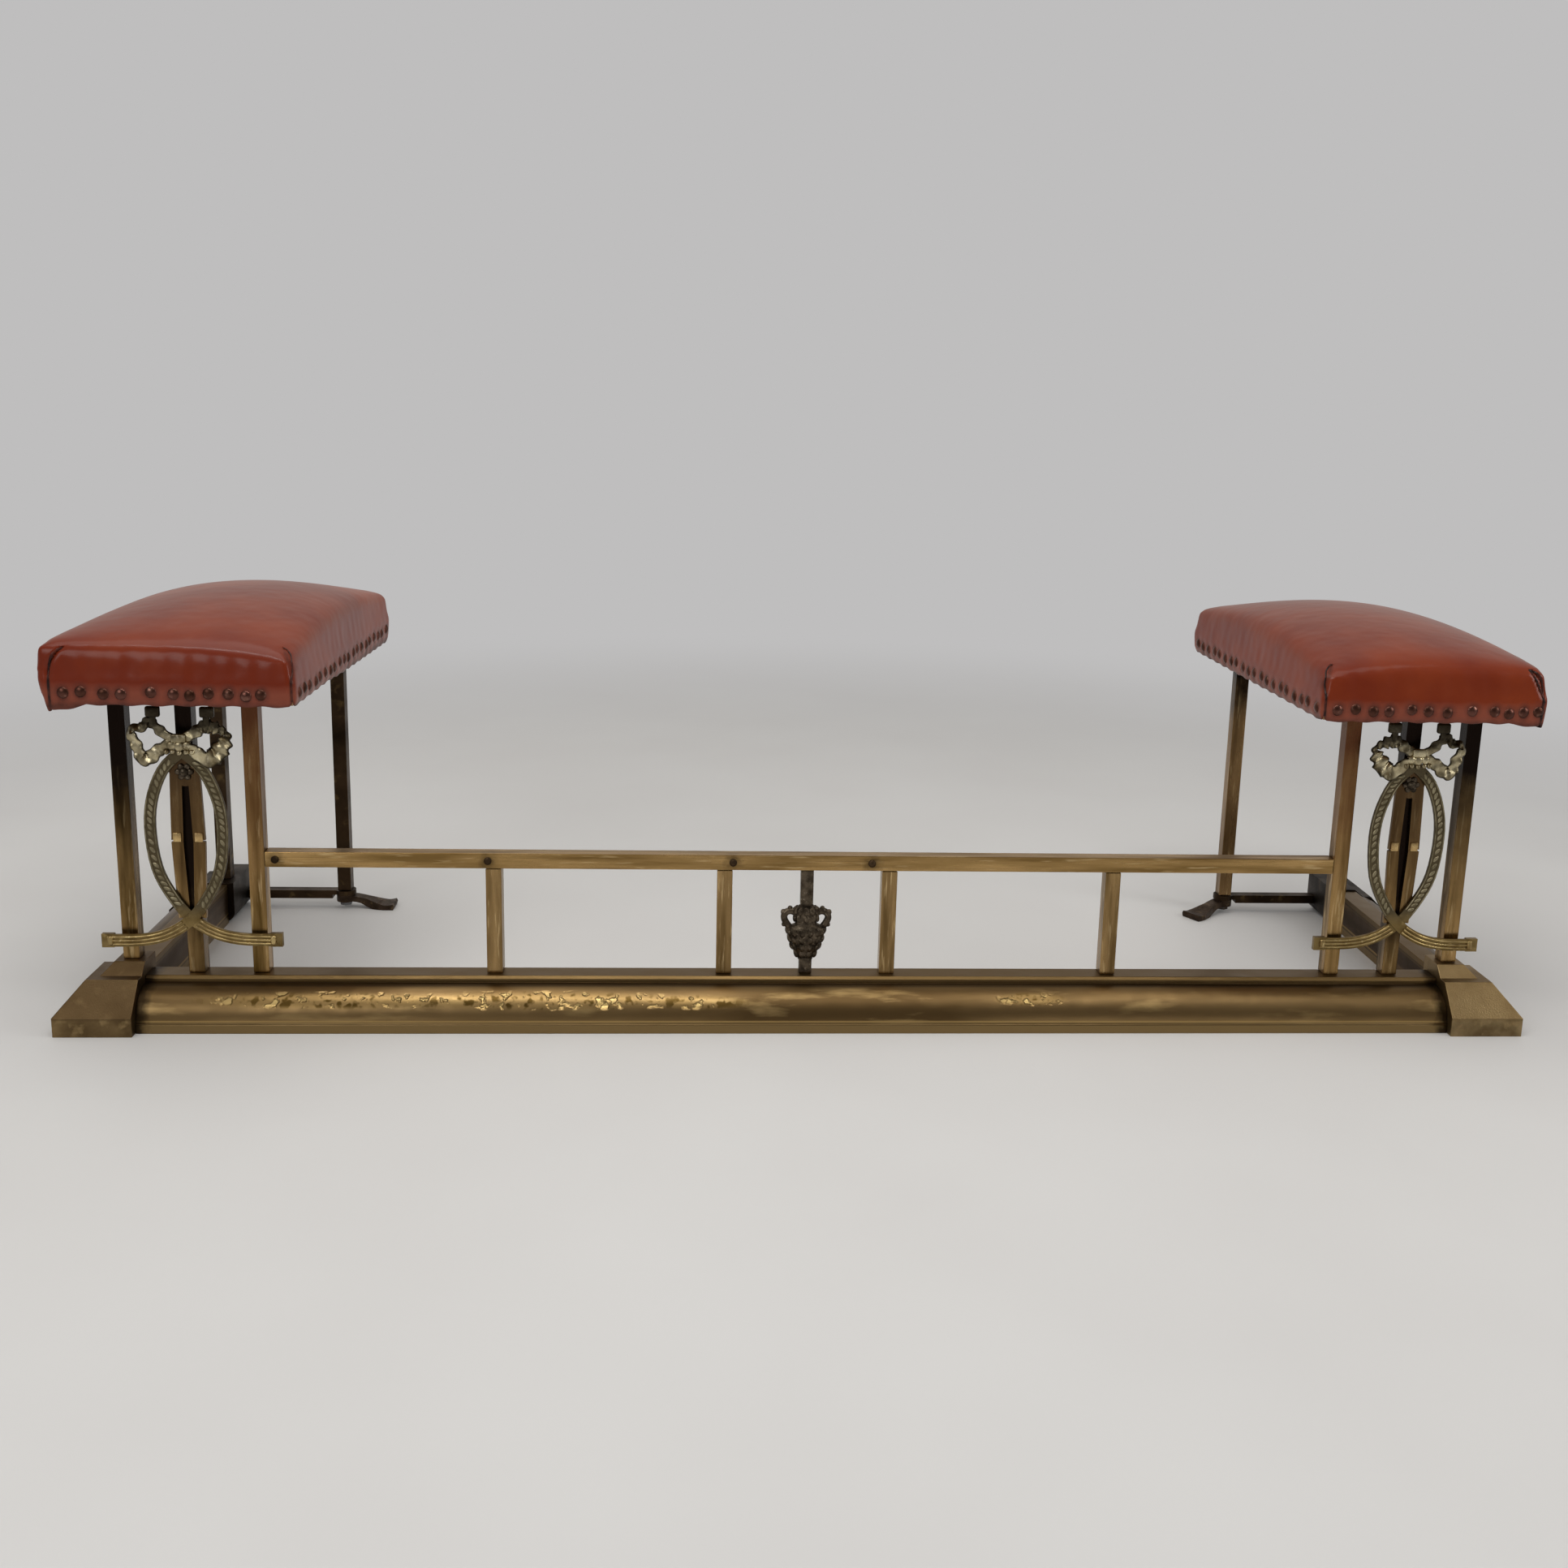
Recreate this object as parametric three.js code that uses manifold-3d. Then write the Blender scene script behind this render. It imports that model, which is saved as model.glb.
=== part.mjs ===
// A brass fire fender with a padded seat at each end of a moulded kerb.
// Millimetres, +Z up. The front looks along -Y and the floor is z = 0.
// While it is drawn, y = 0 is the front face of the two front corner blocks and x = 0 the middle.
// The last lines slide the whole fender back so that the middle of its box is the origin.

import * as THREE from 'three';
import * as BufferGeometryUtils from 'three/addons/utils/BufferGeometryUtils.js';
import Module from 'manifold-3d';

const wasm = await Module();
wasm.setup();

// ---- Driving dimensions -------------------------------------------------------------------

// Overall
const OVERALL_WIDTH = 1600;
const OVERALL_DEPTH = 445;
const FACE_GAP = 0.3;
// How far a cutting solid runs past the face it opens, and one joined solid into the next
const PASS = 1;

// Corner blocks: cast, faceted, mitred at the outer corner
const BLOCK_SIDE = 82;
const BLOCK_HEIGHT = 66.5;
const BLOCK_FASCIA = 21;
const BLOCK_SHOULDER = 54;
const BLOCK_SLOPE_RUN = 27;
const BLOCK_TREAD = 11;
const BLOCK_UPPER_RUN = 12;
const BLOCK_WALL = 4;
const BLOCK_ROUNDING_STEPS = 6;
const REAR_BLOCK_DEPTH = 82;
const REAR_BLOCK_HEIGHT = 53;
const REAR_BLOCK_UNDERCUT = 18;
const REAR_BLOCK_ROUNDING = 14;

// Kerb moulding, used in front and on both returns
const KERB_SET_BACK = 9.5;
const KERB_WIDTH = 65;
const KERB_HEIGHT = 51;
const KERB_WALL = 2.5;
const KERB_FASCIA = 9.5;
const KERB_FILLET = 1.6;
const KERB_SWELL_RUN = 34;
const KERB_STEP = 4;
const KERB_BEAD = 3;
const KERB_ARC_STEPS = 10;

// Square brass tube of the posts, rail and balusters
const TUBE_SIDE = 17;
const TUBE_WALL = 1.6;
const POST_INSET = 56;
const FRONT_POST_PITCH = 137;
const REAR_POST_PITCH = 142;
const REAR_OUTER_POST_INSET = 57;
const REAR_INNER_POST_INSET = 17;
const RAIL_TOP = 188;
// The balusters stand in even pairs about the urn, which is a little left of the middle.
const URN_X = -4;
const BALUSTER_PLACES = [-342, -91, 91, 342];

// Tie rods, clamp bar and screws
const ROD_RADIUS = 4;
const ROD_HOLE_CLEARANCE = 0.5;
const ROD_HEAD_RADIUS = 6.5;
const ROD_HEAD_DEPTH = 5;
const ROD_BITE = 14;
const CLAMP_BAR_THICKNESS = 5;
const CLAMP_BAR_WIDTH = 18;
const RAIL_SCREW_PLACES = [-578, -352, -86, 67];
const SCREW_RADIUS = 2.4;
const SCREW_HEAD_RADIUS = 4.2;
const SCREW_HEAD_DEPTH = 1.8;
const SCREW_LENGTH = 6;
const SCREW_CLEARANCE = 0.35;

// Seats
const SEAT_WIDTH = 245;
const SEAT_INNER_OVERHANG = 58;
const SEAT_FRONT = -12;
const SEAT_UNDERSIDE = 362;
const BOARD_THICKNESS = 22;
const LEATHER_SKIRT = 3;
const LEATHER_LIP = 2;
const CUSHION_EDGE_HEIGHT = 56;
const CUSHION_SIDE_ARCH = 16;
const CUSHION_END_ARCH = 5;
const CUSHION_CROWN = 19;
const CUSHION_ROUNDING = 5;
const CUSHION_DRAWN_IN = 2.5;
const CUSHION_STEPS = [14, 22, 5];

// Rear bar and swivelling foot under each rear inner post
const BAR_TOP = 25;
const BAR_THICKNESS = 11;
const BAR_DEPTH = 14;
const BAR_LAP_THICKNESS = 6;
const BAR_LAP_LENGTH = 16;
const BAR_EYE_RADIUS = 13;
const FOOT_HUB_RADIUS = 12;
const FOOT_HUB_HEIGHT = 9;
const FOOT_LENGTH = 63;
const FOOT_TIP_LENGTH = 26;
const FOOT_TIP_HEIGHT = 8;
const FOOT_TIP_WIDTH = 28;
const FOOT_LEG_WIDTH = 16;
const FOOT_NUT_RADIUS = 8;
const FOOT_NUT_HEIGHT = 5;
const NUT_CLEARANCE = 1;
const ROD_END = 1;
const RIGHT_FOOT_TURN = 32;
const SWIVEL_CLEARANCE = 0.4;

// Ornament in front of each centre post
const STRAP_THICKNESS = 4;
const BAND_THICKNESS = 3;
const BAND_WIDTH = 12;
const TAIL_WIDTH = 14;
const BAND_STEPS = 34;
const BAND_BELLY = 38;
const BAND_BELLY_Z = 213;
const BAND_TOP_Z = 300;
const CROSSING_Z = 115;
const TAIL_REACH = 88;
const TAIL_Z = 91;
const TAIL_END_LENGTH = 13;
const TAIL_END_THICKNESS = 2.4;
const STRAP_WIDTH = 12.5;
const STRAP_SLOT = 6;
const STRAP_BEND_SLOT = 10;
const STRAP_FOOT_SLOT = 4;
const STRAP_TOP_Z = 277;
const STRAP_BEND_Z = 205;
const STRAP_EYE_RADIUS = 16;
const BOSS_RADIUS = 7.5;
const BOSS_DEPTH = 5;
const BOW_THICKNESS = 4;
const BOW_HALF_WIDTH = 58;
const BOW_KNOT_Z = 308;
const BOW_KNOB_RISE = 29;
const BOW_KNOT_RADIUS = 8;
const BOW_KNOB_PLACE = 0.48;
const BOW_KNOB_RADIUS = 6;
const BOW_KNOB_DEPTH = 7;

// Urn in the middle bay
const URN_TOP = 129;
const URN_BOTTOM = 69;
const URN_BELLY_RADIUS = 21;
const URN_BELLY_Z = 100;
const URN_NECK_RADIUS = 9;
const URN_FOOT_RADIUS = 8;
const URN_FLATTENING = 0.6;
const URN_HANDLE_REACH = 28;
const URN_HANDLE_THICKNESS = 7;
const URN_HANDLE_HOLE = 3.6;
const URN_STEM_SIDE = 14;

// ---- Sizes worked out from the driving ones ------------------------------------------------

const HALF_WIDTH = OVERALL_WIDTH / 2;
const HALF_TUBE = TUBE_SIDE / 2;
const BLOCK_INNER_X = HALF_WIDTH - BLOCK_SIDE;
const REAR_BLOCK_FRONT = OVERALL_DEPTH - REAR_BLOCK_DEPTH;
const OUTER_POST_X = HALF_WIDTH - KERB_SET_BACK - POST_INSET;
const INNER_POST_X = OUTER_POST_X - FRONT_POST_PITCH;
const CENTRE_POST_X = (OUTER_POST_X + INNER_POST_X) / 2;
const REAR_INNER_POST_X = OUTER_POST_X - REAR_POST_PITCH;
const FRONT_ROW_Y = KERB_SET_BACK + POST_INSET;
const REAR_OUTER_POST_Y = OVERALL_DEPTH - REAR_OUTER_POST_INSET;
const REAR_INNER_POST_Y = OVERALL_DEPTH - REAR_INNER_POST_INSET;
const POST_FACE_Y = FRONT_ROW_Y - HALF_TUBE;
const POST_TOP = SEAT_UNDERSIDE - FACE_GAP;
const RAIL_BOTTOM = RAIL_TOP - TUBE_SIDE;
const RAIL_END_X = INNER_POST_X - HALF_TUBE - FACE_GAP;
const RAIL_MIDDLE_Z = RAIL_TOP - HALF_TUBE;
const KERB_SHOULDER = KERB_HEIGHT - KERB_STEP - KERB_BEAD;
const CLAMP_BAR_TOP = KERB_HEIGHT - KERB_WALL - FACE_GAP;
const CLAMP_BAR_BOTTOM = CLAMP_BAR_TOP - CLAMP_BAR_THICKNESS;
const ROD_TOP = SEAT_UNDERSIDE + ROD_BITE;
const ROD_HOLE_RADIUS = ROD_RADIUS + ROD_HOLE_CLEARANCE;
const BAR_BOTTOM = BAR_TOP - BAR_THICKNESS;
const BAR_LAP_BOTTOM = BAR_TOP - BAR_LAP_THICKNESS;
const FOOT_HUB_TOP = BAR_LAP_BOTTOM - FACE_GAP;
const FOOT_HUB_BOTTOM = FOOT_HUB_TOP - FOOT_HUB_HEIGHT;
const FOOT_NUT_TOP = FOOT_HUB_BOTTOM - FACE_GAP;
const SEAT_INNER_X = INNER_POST_X - HALF_TUBE - SEAT_INNER_OVERHANG;
const SEAT_DEPTH = OVERALL_DEPTH - SEAT_FRONT;
const SEAT_MIDDLE_X = SEAT_INNER_X + SEAT_WIDTH / 2;
const SEAT_MIDDLE_Y = SEAT_FRONT + SEAT_DEPTH / 2;
const LEATHER_BOTTOM = SEAT_UNDERSIDE - LEATHER_LIP;
const STRAP_BACK_Y = POST_FACE_Y - FACE_GAP;
const STRAP_FACE_Y = STRAP_BACK_Y - STRAP_THICKNESS;
const REAR_BAND_BACK_Y = STRAP_FACE_Y - FACE_GAP;
const FRONT_BAND_BACK_Y = REAR_BAND_BACK_Y - BAND_THICKNESS - FACE_GAP;
const BOW_BACK_Y = FRONT_BAND_BACK_Y - BAND_THICKNESS - FACE_GAP;

const SIDES = [
  { name: 'left', sign: -1, footTurn: 0 },
  { name: 'right', sign: 1, footTurn: RIGHT_FOOT_TURN },
];

// ---- Materials -----------------------------------------------------------------------------

const finish = (color, roughness, metalness) =>
  new THREE.MeshStandardMaterial({ color, roughness, metalness });
const agedBrass = finish(0x8c6f3c, 0.42, 1);
const paleBrass = finish(0xab9663, 0.4, 1);
const brownedBrass = finish(0x4a3f33, 0.55, 1);
const darkCasting = finish(0x34312c, 0.6, 1);
const steel = finish(0x74767a, 0.45, 1);
const leather = finish(0xa23b22, 0.45, 0);
const beech = finish(0xb08a5b, 0.7, 0);

// ---- Solids --------------------------------------------------------------------------------

const X_AXIS = new THREE.Vector3(1, 0, 0);
const Y_AXIS = new THREE.Vector3(0, 1, 0);
const Z_AXIS = new THREE.Vector3(0, 0, 1);

function outline(points) {
  return new THREE.Shape(points.map(([a, b]) => new THREE.Vector2(a, b)));
}

function extruded(shape, depth, curveSegments = 8) {
  return new THREE.ExtrudeGeometry(shape, { depth, bevelEnabled: false, curveSegments });
}

// A shape drawn as (y, z) and run from x0 to x1.
function alongX(shape, x0, x1) {
  const turn = new THREE.Matrix4().makeBasis(Y_AXIS, Z_AXIS, X_AXIS);
  return extruded(shape, x1 - x0).applyMatrix4(turn).translate(x0, 0, 0);
}

// A shape drawn as (x, z) and run from y0 to y1.
function alongY(shape, y0, y1) {
  const turn = new THREE.Matrix4().makeBasis(X_AXIS, Z_AXIS, Y_AXIS.clone().negate());
  return extruded(shape, y1 - y0).applyMatrix4(turn).translate(0, y1, 0);
}

// A shape drawn as (x, y) and run from z0 to z1.
function alongZ(shape, z0, z1) {
  return extruded(shape, z1 - z0).translate(0, 0, z0);
}

function boxBetween(low, high) {
  const size = high.map((value, axis) => value - low[axis]);
  const middle = high.map((value, axis) => (value + low[axis]) / 2);
  return new THREE.BoxGeometry(...size).translate(...middle);
}

function uprightCylinder(radius, x, y, z0, z1, sides = 16) {
  const height = z1 - z0;
  return new THREE.CylinderGeometry(radius, radius, height, sides)
    .rotateX(Math.PI / 2)
    .translate(x, y, z0 + height / 2);
}

// A cylinder lying along Y, from y0 to y1.
function levelCylinder(radius, x, z, y0, y1, sides = 16) {
  const length = y1 - y0;
  return new THREE.CylinderGeometry(radius, radius, length, sides).translate(x, y0 + length / 2, z);
}

function solidOf(geometry) {
  const bare = geometry.clone();
  bare.deleteAttribute('normal');
  bare.deleteAttribute('uv');
  const merged = BufferGeometryUtils.mergeVertices(bare, 1e-4);
  return new wasm.Manifold(new wasm.Mesh({
    numProp: 3,
    vertProperties: new Float32Array(merged.attributes.position.array),
    triVerts: new Uint32Array(merged.index.array),
  }));
}

function geometryOf(solid) {
  const { vertProperties, triVerts } = solid.getMesh();
  const geometry = new THREE.BufferGeometry();
  geometry.setAttribute('position', new THREE.BufferAttribute(new Float32Array(vertProperties), 3));
  geometry.setIndex(new THREE.BufferAttribute(new Uint32Array(triVerts), 1));
  geometry.computeVertexNormals();
  return geometry;
}

function cut(geometry, tools) {
  return geometryOf(tools.reduce((solid, tool) => solid.subtract(solidOf(tool)), solidOf(geometry)));
}

function joined(geometries) {
  const [first, ...rest] = geometries.map(solidOf);
  return geometryOf(rest.reduce((solid, other) => solid.add(other), first));
}

function common(first, second) {
  return geometryOf(solidOf(first).intersect(solidOf(second)));
}

// The same solid on the other side of x = 0, with its faces still pointing out.
function mirrored(geometry) {
  const copy = geometry.index ? geometry.toNonIndexed() : geometry.clone();
  const places = copy.attributes.position;
  for (let first = 0; first < places.count; first += 3) {
    const corner = [first, first + 2, first + 1].map((index) =>
      [-places.getX(index), places.getY(index), places.getZ(index)]);
    corner.forEach((place, step) => places.setXYZ(first + step, ...place));
  }
  copy.computeVertexNormals();
  return copy;
}

// ---- The fender ----------------------------------------------------------------------------

const fender = new THREE.Group();
fender.name = 'fire_fender';

function add(name, geometry, material) {
  const mesh = new THREE.Mesh(geometry, material);
  mesh.name = name;
  fender.add(mesh);
}

// ---- Kerb moulding -------------------------------------------------------------------------

// One quarter of the swelling face, from the fascia up to the step, set in by `wall`.
function swellingArc(wall) {
  const centre = KERB_FILLET + KERB_SWELL_RUN;
  const start = KERB_FASCIA + KERB_FILLET;
  const run = KERB_SWELL_RUN - wall;
  const rise = KERB_SHOULDER - start - wall;
  return Array.from({ length: KERB_ARC_STEPS + 1 }, (_, step) => {
    const angle = (step / KERB_ARC_STEPS) * (Math.PI / 2);
    return [centre - run * Math.cos(angle), start + rise * Math.sin(angle)];
  });
}

// The kerb's section as [distance from its front face, height], a bent sheet open underneath.
function kerbSection() {
  const step = KERB_FILLET + KERB_SWELL_RUN + KERB_FILLET;
  const outside = [
    [0, 0],
    [0, KERB_FASCIA],
    ...swellingArc(0),
    [step, KERB_SHOULDER],
    [step, KERB_SHOULDER + KERB_STEP],
    [step + KERB_BEAD, KERB_HEIGHT],
    [KERB_WIDTH, KERB_HEIGHT],
    [KERB_WIDTH, 0],
  ];
  const inside = [
    [KERB_WALL, 0],
    [KERB_WALL, KERB_FASCIA],
    ...swellingArc(KERB_WALL),
    [step + KERB_WALL, KERB_SHOULDER - KERB_WALL],
    [step + KERB_WALL, KERB_SHOULDER + KERB_STEP - KERB_WALL],
    [step + KERB_BEAD + KERB_WALL / 2, KERB_HEIGHT - KERB_WALL],
    [KERB_WIDTH - KERB_WALL, KERB_HEIGHT - KERB_WALL],
    [KERB_WIDTH - KERB_WALL, 0],
  ];
  return [...outside, ...inside.reverse()];
}

const frontRodPlaces = SIDES.map(({ sign }) => [sign * INNER_POST_X, FRONT_ROW_Y]);

function frontKerb() {
  const end = BLOCK_INNER_X - FACE_GAP;
  const section = outline(kerbSection().map(([back, z]) => [KERB_SET_BACK + back, z]));
  const holes = frontRodPlaces.map(([x, y]) => uprightCylinder(ROD_HOLE_RADIUS, x, y, 0, BLOCK_HEIGHT));
  return cut(alongX(section, -end, end), holes);
}

function returnKerb() {
  const face = HALF_WIDTH - KERB_SET_BACK;
  const section = outline(kerbSection().map(([back, z]) => [face - back, z]).reverse());
  return alongY(section, BLOCK_SIDE + FACE_GAP, REAR_BLOCK_FRONT - FACE_GAP);
}

function clampBar() {
  const end = BLOCK_INNER_X - FACE_GAP;
  const low = [-end, FRONT_ROW_Y - CLAMP_BAR_WIDTH / 2, CLAMP_BAR_BOTTOM];
  const back = KERB_SET_BACK + KERB_WIDTH - KERB_WALL - FACE_GAP;
  const high = [end, Math.min(FRONT_ROW_Y + CLAMP_BAR_WIDTH / 2, back), CLAMP_BAR_TOP];
  const holes = frontRodPlaces.map(([x, y]) => uprightCylinder(ROD_HOLE_RADIUS, x, y, 0, BLOCK_HEIGHT));
  return cut(boxBetween(low, high), holes);
}

// ---- Corner blocks -------------------------------------------------------------------------

// The stepped profile of a block this high, as [distance from its outer face, height],
// set in by `wall`, from the floor at the outer face up to the back of the top.
function blockProfile(height, wall) {
  const scale = height / BLOCK_HEIGHT;
  const slope = wall * 0.7;
  const tread = BLOCK_SLOPE_RUN + BLOCK_TREAD;
  return [
    [wall, wall > 0 ? -PASS : 0],
    [wall, BLOCK_FASCIA * scale - slope / 2],
    [BLOCK_SLOPE_RUN + slope, BLOCK_SHOULDER * scale - wall],
    [tread + slope, BLOCK_SHOULDER * scale - wall],
    [tread + BLOCK_UPPER_RUN + slope / 2, height - wall],
    [BLOCK_SIDE - wall, height - wall],
  ];
}

// The profile in front and the same profile at the side, mitred where they meet.
function cornerBlockForm(wall) {
  const foot = wall > 0 ? -PASS : 0;
  const profile = [...blockProfile(BLOCK_HEIGHT, wall), [BLOCK_SIDE - wall, foot]];
  const facing = outline([...profile].reverse());
  const flank = outline(profile.map(([inward, z]) => [HALF_WIDTH - inward, z]));
  return common(
    alongX(facing, BLOCK_INNER_X + wall, HALF_WIDTH),
    alongY(flank, wall, BLOCK_SIDE - wall),
  );
}

function cornerBlock() {
  const hole = uprightCylinder(ROD_HOLE_RADIUS, OUTER_POST_X, FRONT_ROW_Y, 0, BLOCK_HEIGHT + PASS);
  return cut(cornerBlockForm(0), [cornerBlockForm(BLOCK_WALL), hole]);
}

// The rear block has the profile outside, a plain back and a rounded lower edge inside.
function rearBlockForm(wall) {
  const centre = BLOCK_SIDE - REAR_BLOCK_UNDERCUT;
  const [across, down] = [REAR_BLOCK_UNDERCUT - wall, REAR_BLOCK_ROUNDING - wall];
  const rounding = Array.from({ length: BLOCK_ROUNDING_STEPS + 1 }, (_, step) => {
    const angle = (step / BLOCK_ROUNDING_STEPS) * (Math.PI / 2);
    return [centre + across * Math.cos(angle), REAR_BLOCK_ROUNDING - down * Math.sin(angle)];
  });
  const lip = wall > 0 ? [[centre - wall, wall], [centre - wall, -PASS]] : [];
  const section = [...blockProfile(REAR_BLOCK_HEIGHT, wall), ...rounding, ...lip];
  const flank = outline(section.map(([inward, z]) => [HALF_WIDTH - inward, z]));
  return alongY(flank, REAR_BLOCK_FRONT + wall, OVERALL_DEPTH - wall);
}

function rearBlock() {
  const hole = uprightCylinder(ROD_HOLE_RADIUS, OUTER_POST_X, REAR_OUTER_POST_Y, 0, BLOCK_HEIGHT + PASS);
  return cut(rearBlockForm(0), [rearBlockForm(BLOCK_WALL), hole]);
}

// ---- Posts, rail and balusters -------------------------------------------------------------

function uprightTube(x, y, z0, z1) {
  const bore = HALF_TUBE - TUBE_WALL;
  const outer = boxBetween([x - HALF_TUBE, y - HALF_TUBE, z0], [x + HALF_TUBE, y + HALF_TUBE, z1]);
  const inner = boxBetween([x - bore, y - bore, z0 - PASS], [x + bore, y + bore, z1 + PASS]);
  return cut(outer, [inner]);
}

function screwHole(x, z) {
  const [front, back] = [POST_FACE_Y - PASS, POST_FACE_Y + TUBE_WALL + PASS];
  return levelCylinder(SCREW_RADIUS + SCREW_CLEARANCE, x, z, front, back);
}

function midRail() {
  const bore = HALF_TUBE - TUBE_WALL;
  const outer = boxBetween(
    [-RAIL_END_X, POST_FACE_Y, RAIL_BOTTOM],
    [RAIL_END_X, POST_FACE_Y + TUBE_SIDE, RAIL_TOP],
  );
  const inner = boxBetween(
    [-RAIL_END_X - PASS, FRONT_ROW_Y - bore, RAIL_MIDDLE_Z - bore],
    [RAIL_END_X + PASS, FRONT_ROW_Y + bore, RAIL_MIDDLE_Z + bore],
  );
  return cut(outer, [inner, ...RAIL_SCREW_PLACES.map((x) => screwHole(x, RAIL_MIDDLE_Z))]);
}

// A round-headed screw driven in from the front at (x, z) of a face at faceY.
function frontScrew(x, z, faceY, radius, headRadius, headDepth, length) {
  const profile = [
    [0, headDepth],
    [headRadius * 0.6, headDepth * 0.85],
    [headRadius, headDepth * 0.3],
    [headRadius, 0],
    [radius, 0],
    [radius, -length],
    [0, -length],
  ].map(([r, along]) => new THREE.Vector2(r, along)).reverse();
  return new THREE.LatheGeometry(profile, 16)
    .rotateX(Math.PI)
    .translate(x, faceY - FACE_GAP, z);
}

// ---- Tie rods ------------------------------------------------------------------------------

// A rod with a hexagon head underneath, from its head's top face up into the seat board.
function headedRod(x, y, headTop) {
  const head = uprightCylinder(ROD_HEAD_RADIUS, x, y, headTop - ROD_HEAD_DEPTH, headTop, 6);
  const shank = uprightCylinder(ROD_RADIUS, x, y, headTop - PASS, ROD_TOP, 12);
  return joined([head, shank]);
}

// ---- Rear bar and foot ---------------------------------------------------------------------

// A flat bar whose inner end is thinned to lap over the foot's hub and carries the inner post.
function rearBar() {
  const [front, back] = [REAR_INNER_POST_Y - BAR_DEPTH / 2, REAR_INNER_POST_Y + BAR_DEPTH / 2];
  const lapEnd = REAR_INNER_POST_X + BAR_LAP_LENGTH;
  const bar = boxBetween([lapEnd, front, BAR_BOTTOM], [BLOCK_INNER_X - FACE_GAP, back, BAR_TOP]);
  const lap = boxBetween([REAR_INNER_POST_X, front, BAR_LAP_BOTTOM], [lapEnd + PASS, back, BAR_TOP]);
  const place = [REAR_INNER_POST_X, REAR_INNER_POST_Y];
  const eye = uprightCylinder(BAR_EYE_RADIUS, ...place, BAR_LAP_BOTTOM, BAR_TOP, 24);
  const hole = uprightCylinder(ROD_HOLE_RADIUS, ...place, 0, BAR_TOP + PASS);
  return cut(joined([bar, lap, eye]), [hole]);
}

// The ogee leg's side view as (reach from the pivot, height): top line out, sole line back.
function footSideView() {
  const sole = FOOT_LENGTH - FOOT_TIP_LENGTH;
  const top = new THREE.SplineCurve([
    [0, FOOT_HUB_TOP - 1],
    [FOOT_HUB_RADIUS, FOOT_HUB_TOP - 1.5],
    [FOOT_LENGTH * 0.45, FOOT_HUB_TOP - 5],
    [FOOT_LENGTH * 0.68, FOOT_TIP_HEIGHT + 1],
    [FOOT_LENGTH * 0.85, FOOT_TIP_HEIGHT - 1.5],
    [FOOT_LENGTH, FOOT_TIP_HEIGHT],
  ].map(([reach, z]) => new THREE.Vector2(reach, z)));
  const under = new THREE.SplineCurve([
    [sole, 0],
    [sole - 8, 2.5],
    [sole * 0.5, FOOT_HUB_BOTTOM - 1],
    [0, FOOT_HUB_BOTTOM + 1],
  ].map(([reach, z]) => new THREE.Vector2(reach, z)));
  const corners = [[FOOT_LENGTH + 1.5, FOOT_TIP_HEIGHT - 3], [FOOT_LENGTH, 0]];
  return [
    ...top.getPoints(12).map(({ x, y }) => [x, y]),
    ...corners,
    ...under.getPoints(8).map(({ x, y }) => [x, y]),
  ];
}

function rearFoot(turn) {
  const leg = alongY(outline(footSideView().reverse()), -FOOT_TIP_WIDTH / 2, FOOT_TIP_WIDTH / 2);
  const waist = FOOT_LEG_WIDTH / 2;
  const tip = FOOT_TIP_WIDTH / 2;
  const plan = outline([
    [-1, -waist],
    [FOOT_LENGTH * 0.45, -waist],
    [FOOT_LENGTH * 0.8, -tip],
    [FOOT_LENGTH + 3, -tip],
    [FOOT_LENGTH + 3, tip],
    [FOOT_LENGTH * 0.8, tip],
    [FOOT_LENGTH * 0.45, waist],
    [-1, waist],
  ]);
  const hub = uprightCylinder(FOOT_HUB_RADIUS, 0, 0, FOOT_HUB_BOTTOM, FOOT_HUB_TOP, 24);
  const bore = uprightCylinder(ROD_RADIUS + SWIVEL_CLEARANCE, 0, 0, -PASS, FOOT_HUB_TOP + PASS);
  const nutRoom = uprightCylinder(FOOT_NUT_RADIUS + NUT_CLEARANCE, 0, 0, -PASS, FOOT_HUB_BOTTOM);
  const whole = joined([common(leg, alongZ(plan, -PASS, FOOT_HUB_TOP + PASS)), hub]);
  return cut(whole, [bore, nutRoom])
    .rotateZ(Math.PI + THREE.MathUtils.degToRad(turn))
    .translate(REAR_INNER_POST_X, REAR_INNER_POST_Y, 0);
}

function footNut() {
  const place = [REAR_INNER_POST_X, REAR_INNER_POST_Y];
  const nut = uprightCylinder(FOOT_NUT_RADIUS, ...place, FOOT_NUT_TOP - FOOT_NUT_HEIGHT, FOOT_NUT_TOP, 6);
  const bore = uprightCylinder(ROD_RADIUS + FACE_GAP, ...place, 0, FOOT_HUB_TOP);
  return cut(nut, [bore]);
}

function swivelRod() {
  const place = [REAR_INNER_POST_X, REAR_INNER_POST_Y];
  return uprightCylinder(ROD_RADIUS, ...place, FOOT_NUT_TOP - FOOT_NUT_HEIGHT - ROD_END, ROD_TOP, 12);
}

// ---- Ornament ------------------------------------------------------------------------------

// A flat strip of changing width along a smooth line, as an outline in (x, z).
function stripOutline(centreLine, widthAt, steps) {
  const curve = new THREE.SplineCurve(centreLine.map(([x, z]) => new THREE.Vector2(x, z)));
  const left = [];
  const right = [];
  for (let step = 0; step <= steps; step += 1) {
    const along = step / steps;
    const point = curve.getPoint(along);
    const tangent = curve.getTangent(along);
    const half = widthAt(along) / 2;
    left.push([point.x - tangent.y * half, point.y + tangent.x * half]);
    right.push([point.x + tangent.y * half, point.y - tangent.x * half]);
  }
  return outline([...right, ...left.reverse()]);
}

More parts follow.
